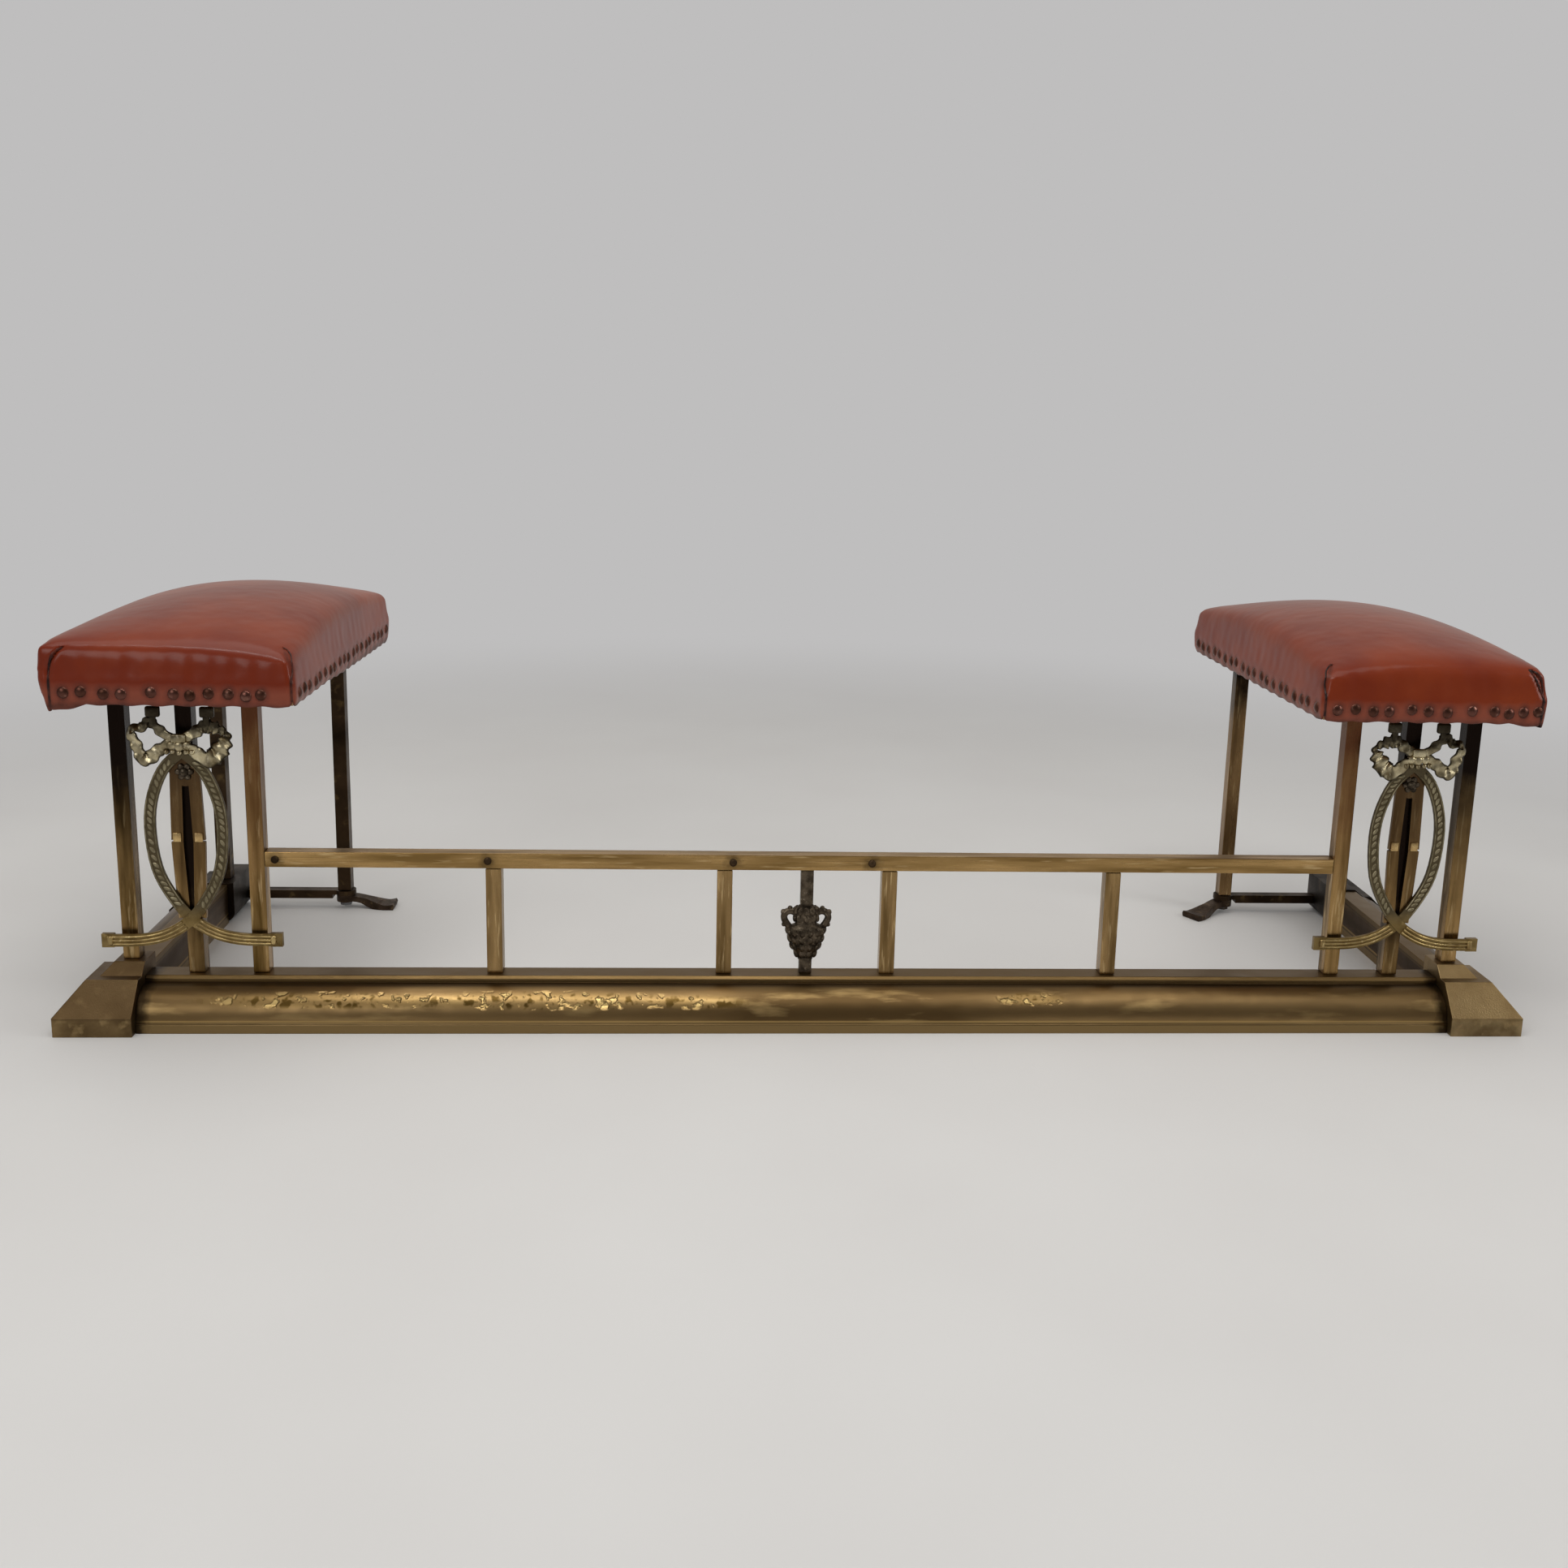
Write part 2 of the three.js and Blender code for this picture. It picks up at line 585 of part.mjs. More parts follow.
// A band leaves the bow, bellies out to one side, crosses the middle and ends as a level tail.
function band(direction, backY) {
  const centreLine = [
    [1, BAND_TOP_Z],
    [BAND_BELLY * 0.55, BAND_TOP_Z - 20],
    [BAND_BELLY * 0.9, BAND_TOP_Z - 52],
    [BAND_BELLY, BAND_BELLY_Z],
    [BAND_BELLY * 0.87, BAND_BELLY_Z - 42],
    [BAND_BELLY * 0.5, CROSSING_Z + 25],
    [0, CROSSING_Z],
    [-TAIL_REACH * 0.27, CROSSING_Z - 16],
    [-TAIL_REACH * 0.58, TAIL_Z + 1],
    [-TAIL_REACH, TAIL_Z],
  ].map(([across, z]) => [CENTRE_POST_X + direction * across, z]);
  const widthAt = (along) => BAND_WIDTH + (TAIL_WIDTH - BAND_WIDTH) * Math.max(0, along - 0.6) / 0.4;
  const strip = alongY(stripOutline(centreLine, widthAt, BAND_STEPS), backY - BAND_THICKNESS, backY);
  const endX = CENTRE_POST_X - direction * TAIL_REACH;
  const half = [TAIL_END_LENGTH / 2, TAIL_WIDTH / 2 + 0.5];
  const end = boxBetween(
    [endX - half[0], backY - BAND_THICKNESS, TAIL_Z - half[1]],
    [endX + half[0], backY + TAIL_END_THICKNESS, TAIL_Z + half[1]],
  );
  return joined([strip, end]);
}

function strapPair() {
  const straps = [-1, 1].map((direction) => {
    const line = [
      [STRAP_SLOT / 2, STRAP_TOP_Z],
      [STRAP_SLOT / 2 + 0.8, STRAP_TOP_Z - 25],
      [STRAP_BEND_SLOT / 2, STRAP_BEND_Z],
      [STRAP_BEND_SLOT / 2, STRAP_BEND_Z - 12],
      [STRAP_FOOT_SLOT / 2, CROSSING_Z],
    ].map(([slot, z]) => [CENTRE_POST_X + direction * (slot + STRAP_WIDTH / 2), z]);
    return alongY(stripOutline(line, () => STRAP_WIDTH, 16), STRAP_FACE_Y, STRAP_BACK_Y);
  });
  const eye = levelCylinder(STRAP_EYE_RADIUS, CENTRE_POST_X, STRAP_TOP_Z, STRAP_FACE_Y, STRAP_BACK_Y, 24);
  const hole = levelCylinder(SCREW_RADIUS + SCREW_CLEARANCE, CENTRE_POST_X, STRAP_TOP_Z, 0, POST_FACE_Y);
  return cut(joined([...straps, eye]), [hole]);
}

function bowLoop(direction) {
  const place = ([across, z]) => new THREE.Vector2(CENTRE_POST_X + direction * across, z);
  const w = BOW_HALF_WIDTH;
  const rim = new THREE.SplineCurve([
    [0, BOW_KNOT_Z - 8],
    [w * 0.2, BOW_KNOT_Z - 4],
    [w * 0.42, BOW_KNOT_Z - 17],
    [w * 0.62, BOW_KNOT_Z - 27],
    [w * 0.8, BOW_KNOT_Z - 20],
    [w * 0.86, BOW_KNOT_Z - 4],
    [w, BOW_KNOT_Z + 8],
    [w * 0.83, BOW_KNOT_Z + 18],
    [w * BOW_KNOB_PLACE, BOW_KNOT_Z + BOW_KNOB_RISE - BOW_KNOB_RADIUS / 2],
    [w * 0.22, BOW_KNOT_Z + 10],
    [0, BOW_KNOT_Z + 8],
  ].map(place));
  const eye = new THREE.SplineCurve([
    [w * 0.3, BOW_KNOT_Z + 1],
    [w * 0.5, BOW_KNOT_Z - 10],
    [w * 0.64, BOW_KNOT_Z - 16],
    [w * 0.71, BOW_KNOT_Z - 3],
    [w * 0.78, BOW_KNOT_Z + 7],
    [w * 0.5, BOW_KNOT_Z + 13],
    [w * 0.3, BOW_KNOT_Z + 1],
  ].map(place));
  const inOrder = (points) => (direction > 0 ? points : points.reverse());
  const shape = new THREE.Shape(inOrder(rim.getPoints(30)));
  shape.holes.push(new THREE.Path(inOrder(eye.getPoints(20).slice(0, -1))));
  return alongY(shape, BOW_BACK_Y - BOW_THICKNESS, BOW_BACK_Y);
}

function bow() {
  const front = BOW_BACK_Y - BOW_THICKNESS;
  const knot = new THREE.SphereGeometry(BOW_KNOT_RADIUS, 14, 10)
    .scale(1, 0.5, 1)
    .translate(CENTRE_POST_X, front, BOW_KNOT_Z);
  const backing = levelCylinder(BOW_KNOT_RADIUS, CENTRE_POST_X, BOW_KNOT_Z, front, BOW_BACK_Y);
  const knobs = [-1, 1].map((direction) => {
    const x = CENTRE_POST_X + direction * BOW_HALF_WIDTH * BOW_KNOB_PLACE;
    const z = BOW_KNOT_Z + BOW_KNOB_RISE;
    return levelCylinder(BOW_KNOB_RADIUS, x, z, BOW_BACK_Y - BOW_KNOB_DEPTH, BOW_BACK_Y, 12);
  });
  const reach = BOW_KNOT_RADIUS + PASS;
  const cutAtBack = boxBetween(
    [CENTRE_POST_X - reach, BOW_BACK_Y, BOW_KNOT_Z - reach],
    [CENTRE_POST_X + reach, BOW_BACK_Y + reach, BOW_KNOT_Z + reach],
  );
  return cut(joined([bowLoop(1), bowLoop(-1), backing, knot, ...knobs]), [cutAtBack]);
}

// ---- Urn -----------------------------------------------------------------------------------

function urn() {
  const height = URN_TOP - URN_BOTTOM;
  const profile = [
    [0, URN_BOTTOM],
    [URN_FOOT_RADIUS, URN_BOTTOM],
    [URN_BELLY_RADIUS * 0.8, URN_BOTTOM + height * 0.12],
    [URN_BELLY_RADIUS * 0.95, URN_BOTTOM + height * 0.25],
    [URN_BELLY_RADIUS, URN_BELLY_Z],
    [URN_BELLY_RADIUS * 0.94, URN_BELLY_Z + height * 0.12],
    [URN_NECK_RADIUS, URN_BELLY_Z + height * 0.26],
    [URN_NECK_RADIUS * 1.25, URN_TOP - height * 0.06],
    [URN_NECK_RADIUS * 0.9, URN_TOP],
    [0, URN_TOP],
  ].map(([r, z]) => new THREE.Vector2(r, z));
  const body = new THREE.LatheGeometry(profile, 24).rotateX(Math.PI / 2);
  body.scale(1, URN_FLATTENING, 1);
  const ears = [-1, 1].map((direction) => {
    const x = direction * (URN_HANDLE_REACH - URN_BELLY_RADIUS / 2);
    const z = URN_TOP - height * 0.28;
    const half = URN_HANDLE_THICKNESS / 2;
    const ring = levelCylinder(URN_BELLY_RADIUS / 2, x, z, -half, half, 18);
    const curl = levelCylinder(URN_HANDLE_HOLE, direction * URN_HANDLE_REACH, z + 7, -half, half, 12);
    const hole = levelCylinder(URN_HANDLE_HOLE, x, z, -half - PASS, half + PASS, 12);
    return { solid: joined([ring, curl]), hole };
  });
  const whole = joined([body, ...ears.map((ear) => ear.solid)]);
  return cut(whole, ears.map((ear) => ear.hole)).translate(URN_X, FRONT_ROW_Y, 0);
}

function urnStem(z0, z1) {
  const half = URN_STEM_SIDE / 2;
  return boxBetween(
    [URN_X - half, FRONT_ROW_Y - half, z0],
    [URN_X + half, FRONT_ROW_Y + half, z1],
  );
}

// ---- Seats ---------------------------------------------------------------------------------

function seatBoard() {
  const inset = LEATHER_SKIRT + FACE_GAP;
  const half = [SEAT_WIDTH / 2 - inset, SEAT_DEPTH / 2 - inset];
  const board = boxBetween(
    [SEAT_MIDDLE_X - half[0], SEAT_MIDDLE_Y - half[1], SEAT_UNDERSIDE],
    [SEAT_MIDDLE_X + half[0], SEAT_MIDDLE_Y + half[1], SEAT_UNDERSIDE + BOARD_THICKNESS],
  );
  const places = [
    [OUTER_POST_X, FRONT_ROW_Y],
    [INNER_POST_X, FRONT_ROW_Y],
    [OUTER_POST_X, REAR_OUTER_POST_Y],
    [REAR_INNER_POST_X, REAR_INNER_POST_Y],
  ];
  const top = ROD_TOP + FACE_GAP;
  return cut(board, places.map(([x, y]) => uprightCylinder(ROD_HOLE_RADIUS, x, y, 0, top, 12)));
}

// The stuffed leather top: a crowned block whose sides draw in towards the middle of each edge.
function cushion() {
  const half = [SEAT_WIDTH / 2, SEAT_DEPTH / 2];
  const geometry = new THREE.BoxGeometry(2, 2, 1, ...CUSHION_STEPS);
  const places = geometry.attributes.position;
  for (let index = 0; index < places.count; index += 1) {
    const u = places.getX(index);
    const v = places.getY(index);
    const rise = places.getZ(index) + 0.5;
    const rounding = CUSHION_ROUNDING * (1 - Math.sqrt(1 - rise ** 4 * 0.98));
    const drawnU = CUSHION_DRAWN_IN * (1 - v ** 4) * rise ** 2 + rounding;
    const drawnV = CUSHION_DRAWN_IN * (1 - u ** 4) * rise ** 2 + rounding;
    const arch = CUSHION_SIDE_ARCH * (1 - v ** 2) + CUSHION_END_ARCH * (1 - u ** 2);
    const crown = CUSHION_CROWN * (1 - u ** 2) ** 0.7 * (1 - v ** 2) ** 0.5;
    places.setXYZ(
      index,
      SEAT_MIDDLE_X + u * (half[0] - drawnU),
      SEAT_MIDDLE_Y + v * (half[1] - drawnV),
      LEATHER_BOTTOM + rise * (CUSHION_EDGE_HEIGHT + arch + crown),
    );
  }
  const inner = [half[0] - LEATHER_SKIRT, half[1] - LEATHER_SKIRT];
  const room = boxBetween(
    [SEAT_MIDDLE_X - inner[0], SEAT_MIDDLE_Y - inner[1], LEATHER_BOTTOM - PASS],
    [SEAT_MIDDLE_X + inner[0], SEAT_MIDDLE_Y + inner[1], SEAT_UNDERSIDE + BOARD_THICKNESS + FACE_GAP],
  );
  return cut(geometry, [room]);
}

// ---- Assembly ------------------------------------------------------------------------------

add('front_kerb', frontKerb(), agedBrass);
add('front_clamp_bar', clampBar(), steel);
add('mid_rail', midRail(), agedBrass);
RAIL_SCREW_PLACES.forEach((x, index) => {
  const sizes = [SCREW_RADIUS, SCREW_HEAD_RADIUS, SCREW_HEAD_DEPTH, SCREW_LENGTH];
  add(`rail_screw_${index + 1}`, frontScrew(x, RAIL_MIDDLE_Z, POST_FACE_Y, ...sizes), steel);
});
BALUSTER_PLACES.forEach((x, index) => {
  const [bottom, top] = [KERB_HEIGHT + FACE_GAP, RAIL_BOTTOM - FACE_GAP];
  add(`baluster_${index + 1}`, uprightTube(URN_X + x, FRONT_ROW_Y, bottom, top), agedBrass);
});
add('urn_lower_stem', urnStem(KERB_HEIGHT + FACE_GAP, URN_BOTTOM - FACE_GAP), darkCasting);
add('urn', urn(), darkCasting);
add('urn_upper_stem', urnStem(URN_TOP + FACE_GAP, RAIL_BOTTOM - FACE_GAP), darkCasting);

for (const side of SIDES) {
  const place = (name, geometry, material) =>
    add(`${side.name}_${name}`, side.sign < 0 ? mirrored(geometry) : geometry, material);

  place('return_kerb', returnKerb(), agedBrass);
  place('corner_block', cornerBlock(), agedBrass);
  place('rear_block', rearBlock(), brownedBrass);

  const onKerb = KERB_HEIGHT + FACE_GAP;
  const onBlock = BLOCK_HEIGHT + FACE_GAP;
  const onRearBlock = REAR_BLOCK_HEIGHT + FACE_GAP;
  const centrePost = cut(uprightTube(CENTRE_POST_X, FRONT_ROW_Y, onKerb, POST_TOP), [
    screwHole(CENTRE_POST_X, STRAP_TOP_Z),
  ]);
  place('front_outer_post', uprightTube(OUTER_POST_X, FRONT_ROW_Y, onBlock, POST_TOP), agedBrass);
  place('front_centre_post', centrePost, agedBrass);
  place('front_inner_post', uprightTube(INNER_POST_X, FRONT_ROW_Y, onKerb, POST_TOP), agedBrass);
  const rearOuterPost = uprightTube(OUTER_POST_X, REAR_OUTER_POST_Y, onRearBlock, POST_TOP);
  place('rear_outer_post', rearOuterPost, brownedBrass);
  const onBar = BAR_TOP + FACE_GAP;
  const rearInnerPost = uprightTube(REAR_INNER_POST_X, REAR_INNER_POST_Y, onBar, POST_TOP);
  place('rear_inner_post', rearInnerPost, brownedBrass);

  const underBlock = BLOCK_HEIGHT - BLOCK_WALL - FACE_GAP;
  const underRearBlock = REAR_BLOCK_HEIGHT - BLOCK_WALL - FACE_GAP;
  place('front_outer_rod', headedRod(OUTER_POST_X, FRONT_ROW_Y, underBlock), steel);
  place('front_inner_rod', headedRod(INNER_POST_X, FRONT_ROW_Y, CLAMP_BAR_BOTTOM - FACE_GAP), steel);
  place('rear_outer_rod', headedRod(OUTER_POST_X, REAR_OUTER_POST_Y, underRearBlock), steel);
  place('rear_inner_rod', swivelRod(), steel);

  place('rear_bar', rearBar(), brownedBrass);
  place('rear_foot', rearFoot(side.footTurn), darkCasting);
  place('foot_nut', footNut(), steel);

  const bossLength = STRAP_THICKNESS + TUBE_WALL + SCREW_LENGTH;
  const boss = frontScrew(
    CENTRE_POST_X, STRAP_TOP_Z, STRAP_FACE_Y, SCREW_RADIUS, BOSS_RADIUS, BOSS_DEPTH, bossLength,
  );
  place('strap_pair', strapPair(), agedBrass);
  place('ornament_boss', boss, agedBrass);
  place('rear_band', band(1, REAR_BAND_BACK_Y), paleBrass);
  place('front_band', band(-1, FRONT_BAND_BACK_Y), paleBrass);
  place('bow', bow(), paleBrass);

  place('seat_board', seatBoard(), beech);
  place('seat_cushion', cushion(), leather);
}

fender.position.y = -(SEAT_FRONT + OVERALL_DEPTH) / 2;

export default fender;
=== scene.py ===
"""Looks of a brass fire fender with a leather seat at each end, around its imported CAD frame.

Metres, +Z up, the front looking along -Y. The left side is at negative X. Everything is placed
from the boxes of the CAD nodes, and what is drawn for the right side is mirrored for the left.
"""
import math

import bmesh
import bpy
from bpy.props import FloatProperty, FloatVectorProperty, IntProperty, PointerProperty
from mathutils import Matrix, Vector
from mathutils.bvhtree import BVHTree


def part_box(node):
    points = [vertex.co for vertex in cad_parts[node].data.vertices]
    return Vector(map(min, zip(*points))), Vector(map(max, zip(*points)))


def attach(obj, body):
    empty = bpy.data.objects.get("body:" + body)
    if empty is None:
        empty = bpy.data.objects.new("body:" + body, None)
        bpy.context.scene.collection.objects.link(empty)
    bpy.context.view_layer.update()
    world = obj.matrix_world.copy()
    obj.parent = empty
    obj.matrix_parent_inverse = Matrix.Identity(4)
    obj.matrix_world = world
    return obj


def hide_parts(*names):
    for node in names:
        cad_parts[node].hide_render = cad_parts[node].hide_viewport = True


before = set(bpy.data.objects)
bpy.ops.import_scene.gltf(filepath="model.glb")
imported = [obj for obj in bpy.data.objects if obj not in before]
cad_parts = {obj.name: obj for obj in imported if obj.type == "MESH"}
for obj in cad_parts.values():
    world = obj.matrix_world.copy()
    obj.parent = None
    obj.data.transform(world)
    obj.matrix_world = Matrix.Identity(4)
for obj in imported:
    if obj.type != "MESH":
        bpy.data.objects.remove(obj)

bl_info = {
    "name": "Fire Fender",
    "version": (1, 0, 0),
    "blender": (4, 5, 0),
    "location": "View3D > Sidebar > Fender",
    "description": "Builds the leather, brass and castings of a fire fender around its frame",
    "category": "Object",
}

MM = 0.001
UP = Vector((0, 0, 1))
FRONT = Vector((0, -1, 0))
SIDES = (("left", -1), ("right", 1))

# Heights and reaches of the ornament, as in the frame's bands and bow.
BAND_TOP, CROSSING, TAIL_LEVEL = 300 * MM, 115 * MM, 91 * MM
BAND_BELLY, BELLY_LEVEL, TAIL_REACH = 38 * MM, 213 * MM, 88 * MM
KNOT_LEVEL = 308 * MM

# The nails on each seat's front, as shares of its width from the left, read off the photograph.
FRONT_NAILS = {
    "left": (0.07, 0.14, 0.23, 0.3, 0.42, 0.51, 0.575, 0.65, 0.73, 0.8, 0.86),
    "right": (0.07, 0.15, 0.23, 0.3, 0.4, 0.475, 0.56, 0.67, 0.77, 0.835, 0.9, 0.965),
}
# How far the stuffing lifts and pushes out each seat's outer front corner, and how far the
# leather hangs there and along the back two thirds of the seat's inner side.
CORNER_LIFT = {"left": 10 * MM, "right": 5 * MM}
CORNER_BULGE = {"left": 13 * MM, "right": 5 * MM}
FLAP_DROP = {"left": 8 * MM, "right": 4 * MM}
INNER_DROP = {"left": 7 * MM, "right": 1 * MM}


def linear(code):
    """A colour written as sRGB hex, as the linear values that Blender works in."""
    parts = [int(code[start:start + 2], 16) / 255 for start in (1, 3, 5)]
    return tuple(p / 12.92 if p <= 0.04045 else ((p + 0.055) / 1.055) ** 2.4 for p in parts)


def size(name, text, default):
    """A length that a user may change."""
    return FloatProperty(name=name, description=text, default=default, min=0, unit="LENGTH")


def colour(name, text, code):
    """A colour that a user may change."""
    return FloatVectorProperty(
        name=name, description=text, default=linear(code), size=3, min=0, max=1, subtype="COLOR")


class FenderSizes(bpy.types.PropertyGroup):
    """Sizes of what is drawn around the frame."""

    voxel: size("Leather voxel", "Mesh size of the leather while it is blown up", 5 * MM)
    slack: size("Leather slack", "How far the leather starts inside its frame solid", 2.5 * MM)
    swell: size("Leather swell", "The furthest that the stuffing pushes the leather", 8 * MM)
    nail_head: size("Nail head", "Diameter of an upholstery nail's head", 13 * MM)
    nail_rise: size("Nail rise", "Height of the nails above the leather's lower edge", 13 * MM)
    nails_along: IntProperty(
        name="Nails along", description="Nails along each long side", default=20, min=2)
    edge_round: size("Edge round", "Worn rounding of sawn and cast edges", 0.7 * MM)
    husk: size("Husk", "Length of a husk of the band's twisted ornament", 8.5 * MM)


class FenderColours(bpy.types.PropertyGroup):
    """Colours of the finishes."""

    hide: colour("Leather", "Main colour of the leather", "#682109")
    hide_worn: colour("Rubbed leather", "Leather where it is rubbed", "#7d3111")
    # The dark leather paints dirt along the lower edge and shade in the folds and round the nails.
    hide_dark: colour("Soiled leather", "Leather in its folds and along its lower edge", "#220b05")
    brass: colour("Aged brass", "Brass in the dips of the strap folds", "#ae8e5f")
    brass_bright: colour("Rubbed brass", "Tubes where they are rubbed bright", "#dcc08e")
    brass_brown: colour("Browned brass", "Brass browned by heat and smoke", "#4a3a2a")
    casting: colour("Dark casting", "Smoke-browned casting of the feet", "#54463a")
    nail: colour("Nail bronze", "Bronzed nail heads", "#644138")
    steel: colour("Steel", "Steel of the rods and nuts", "#77787a")
    wood: colour("Beech", "Beech of the seat boards", "#a07c50")


# ---- Materials ------------------------------------------------------------------------------


def set_inputs(node, links):
    """Sets a node's inputs, each to a value, a colour's hex code or another node's output."""
    for key, value in links.items():
        socket = node.inputs[key]
        if isinstance(value, bpy.types.NodeSocket):
            node.id_data.links.new(value, socket)
        elif socket.type == "RGBA":
            socket.default_value = (*(linear(value) if isinstance(value, str) else value), 1)
        else:
            socket.default_value = value


def add_node(tree, kind, links, out=0, **settings):
    """Adds a shader node with its settings and links, and gives its output."""
    made = tree.nodes.new(f"ShaderNode{kind}")
    for name, value in settings.items():
        setattr(made, name, value)
    set_inputs(made, links)
    return made.outputs[out] if made.outputs else made


def started(name):
    """A new material, its tree, its shader and its Object coordinates."""
    material = bpy.data.materials.new(name)
    material.use_nodes = True
    tree = material.node_tree
    place = add_node(tree, "TexCoord", {}, "Object")
    return material, tree, tree.nodes["Principled BSDF"], place


def tinted(tree, tone, value, start, end, tint, most=1.0):
    """The tone turned towards a tint while the value goes from start to end."""
    share = add_node(tree, "MapRange",
                     {"Value": value, "From Min": start, "From Max": end, "To Max": most})
    return add_node(tree, "Mix", {0: share, 6: tone, 7: tint}, 2, data_type="RGBA")


def worn_metal(name, clean, dull, bright, patch, gloss=(0.32, 0.5), pits=0.2 * MM,
               drawn=(1, 1, 1)):
    """Bare metal: clean, with dull patches this far across, and rubs a third of that.

    A drawn tube or a rolled sheet has its marks stretched along it."""
    material, tree, shader, place = started(name)
    along = add_node(tree, "Mapping", {"Vector": place, "Scale": drawn})
    # The pits are 1.5 mm apart, coarser than real ones, so that they show.
    patches, rubs, grain = [
        add_node(tree, "TexNoise", {"Vector": along, "Scale": 1 / across, "Detail": detail})
        for across, detail in ((patch, 5.0), (patch / 3, 7.0), (1.5 * MM, 3.0))]
    dulled = add_node(tree, "MapRange", {"Value": patches, "From Min": 0.36, "From Max": 0.66})
    tone = add_node(tree, "Mix", {0: dulled, 6: clean, 7: dull}, 2, data_type="RGBA")
    tone = tinted(tree, tone, rubs, 0.58, 0.8, bright)
    shine = add_node(tree, "MapRange", {"Value": dulled, "To Min": gloss[0], "To Max": gloss[1]})
    relief = add_node(tree, "Bump", {"Height": grain, "Distance": pits, "Strength": 1.0})
    set_inputs(shader, {"Base Color": tone, "Roughness": shine, "Metallic": 1.0, "Normal": relief})
    return material, tree, shader, place, tone


# Metals that are worn and nothing more: their clean, dull and bright colours, how far across a
# dull patch is, how rough they are clean and dull, and how deep their pits are. A name in place
# of a code is a colour that the user may change.
WORN_METALS = {
    # Brass at the back, browned nearly black by the fire, brown where it is rubbed.
    "fire_browned_brass": ("brass_brown", "#2b2219", "#74603f", 45 * MM, (0.38, 0.56), 0.3 * MM),
    # The blocks at the back, which smoke has left a soft brownish black.
    "smoke_black_brass": ("#352c24", "#1e1915", "#4f4234", 45 * MM, (0.4, 0.56), 0.25 * MM),
    # The folds of the straps, painted bright as the highlight where they bend.
    "rubbed_fold_brass": ("#cdb07a", "brass", "#efdcae", 8 * MM, (0.24, 0.36)),
    # The ridges of the bands' tails, polished by dusting, with dirt left between the rubs.
    "rubbed_tail_brass": ("#c0a974", "#8a744c", "#e6d3a0", 14 * MM, (0.26, 0.4)),
    # The bands' relief: olive-grey with dust in it, paler on what stands out.
    "dusty_relief_brass": ("#9d9377", "#6f664e", "#b3a988", 9 * MM, (0.34, 0.5), 0.25 * MM),
    # The urn and the bosses: brown-grey, nearly black in the hollows, with a few rubbed leaves.
    "brown_bronze": ("#615648", "#302921", "#9c8f7c", 9 * MM, (0.34, 0.52), 0.3 * MM),
    # The feet's sand casting, browned by smoke, with brass showing on what stands out.
    "browned_casting": ("casting", "#33281f", "#7a674c", 22 * MM, (0.4, 0.58), 0.3 * MM),
    # Pressed nail heads bronzed reddish brown, some darker than others.
    "bronzed_nail_brass": ("nail", "#42291f", "#8a6558", 22 * MM, (0.3, 0.4), 0.04 * MM),
    # Rolled and turned mild steel gone dull, with brown specks of rust.
    "rusted_steel": ("steel", "#4f443a", "#a3a2a0", 10 * MM, (0.42, 0.62)),
}


def block_brass_with_painted_shade(name, face, slope_shade):
    """Cast brass gone dull olive brown, its slopes painted darker than its upright faces as shade.
    """
    material, tree, shader, place, tone = worn_metal(
        name, face, "#5f4d33", "#a58c62", 40 * MM, (0.34, 0.5))
    height = add_node(tree, "SeparateXYZ", {0: place}, 2)
    # The slopes are painted darker, as shade.
    tone = tinted(tree, tone, height, 17 * MM, 21 * MM, slope_shade, 0.75)
    set_inputs(shader, {"Base Color": tone})
    return material


def drawn_brass_tube(name, clean, dull, bright, drawn, stains=()):
    """Drawn square tube: golden, with streaks along it, and dark where screws go in."""
    material, tree, shader, place, tone = worn_metal(
        name, clean, dull, bright, 10 * MM, (0.22, 0.38), 0.1 * MM, drawn)
    spots = add_node(tree, "TexNoise", {"Vector": place, "Scale": 1 / (7 * MM), "Detail": 4.0})
    for stain in stains:
        away = add_node(tree, "VectorMath", {0: place, 1: stain}, "Value", operation="DISTANCE")
        ragged = add_node(tree, "Math", {0: spots, 1: 16 * MM, 2: away}, operation="MULTIPLY_ADD")
        tone = tinted(tree, tone, ragged, 21 * MM, 11 * MM, "#33271a", 0.6)
    set_inputs(shader, {"Base Color": tone})
    return material


def brass_tube_with_smoke_and_shade(name, smoke_and_shade, clear, dark, bright, tones=("#a68657", "#58431f")):
    """Square tube golden below one height and dark above another: browned by smoke, but on the
    centre post painted shade.
    """
    material, tree, shader, place, tone = worn_metal(
        name, *tones, bright, 11 * MM, (0.22, 0.4), 0.12 * MM, (1, 1, 0.08))
    height = add_node(tree, "SeparateXYZ", {0: place}, 2)
    spots = add_node(tree, "TexNoise", {"Vector": place, "Scale": 1 / (38 * MM), "Detail": 6.0})
    ragged = add_node(tree, "Math", {0: spots, 1: 120 * MM, 2: height}, operation="MULTIPLY_ADD")
    tone = tinted(tree, tone, ragged, clear + 60 * MM, dark + 60 * MM, smoke_and_shade)
    set_inputs(shader, {"Base Color": tone})
    return material


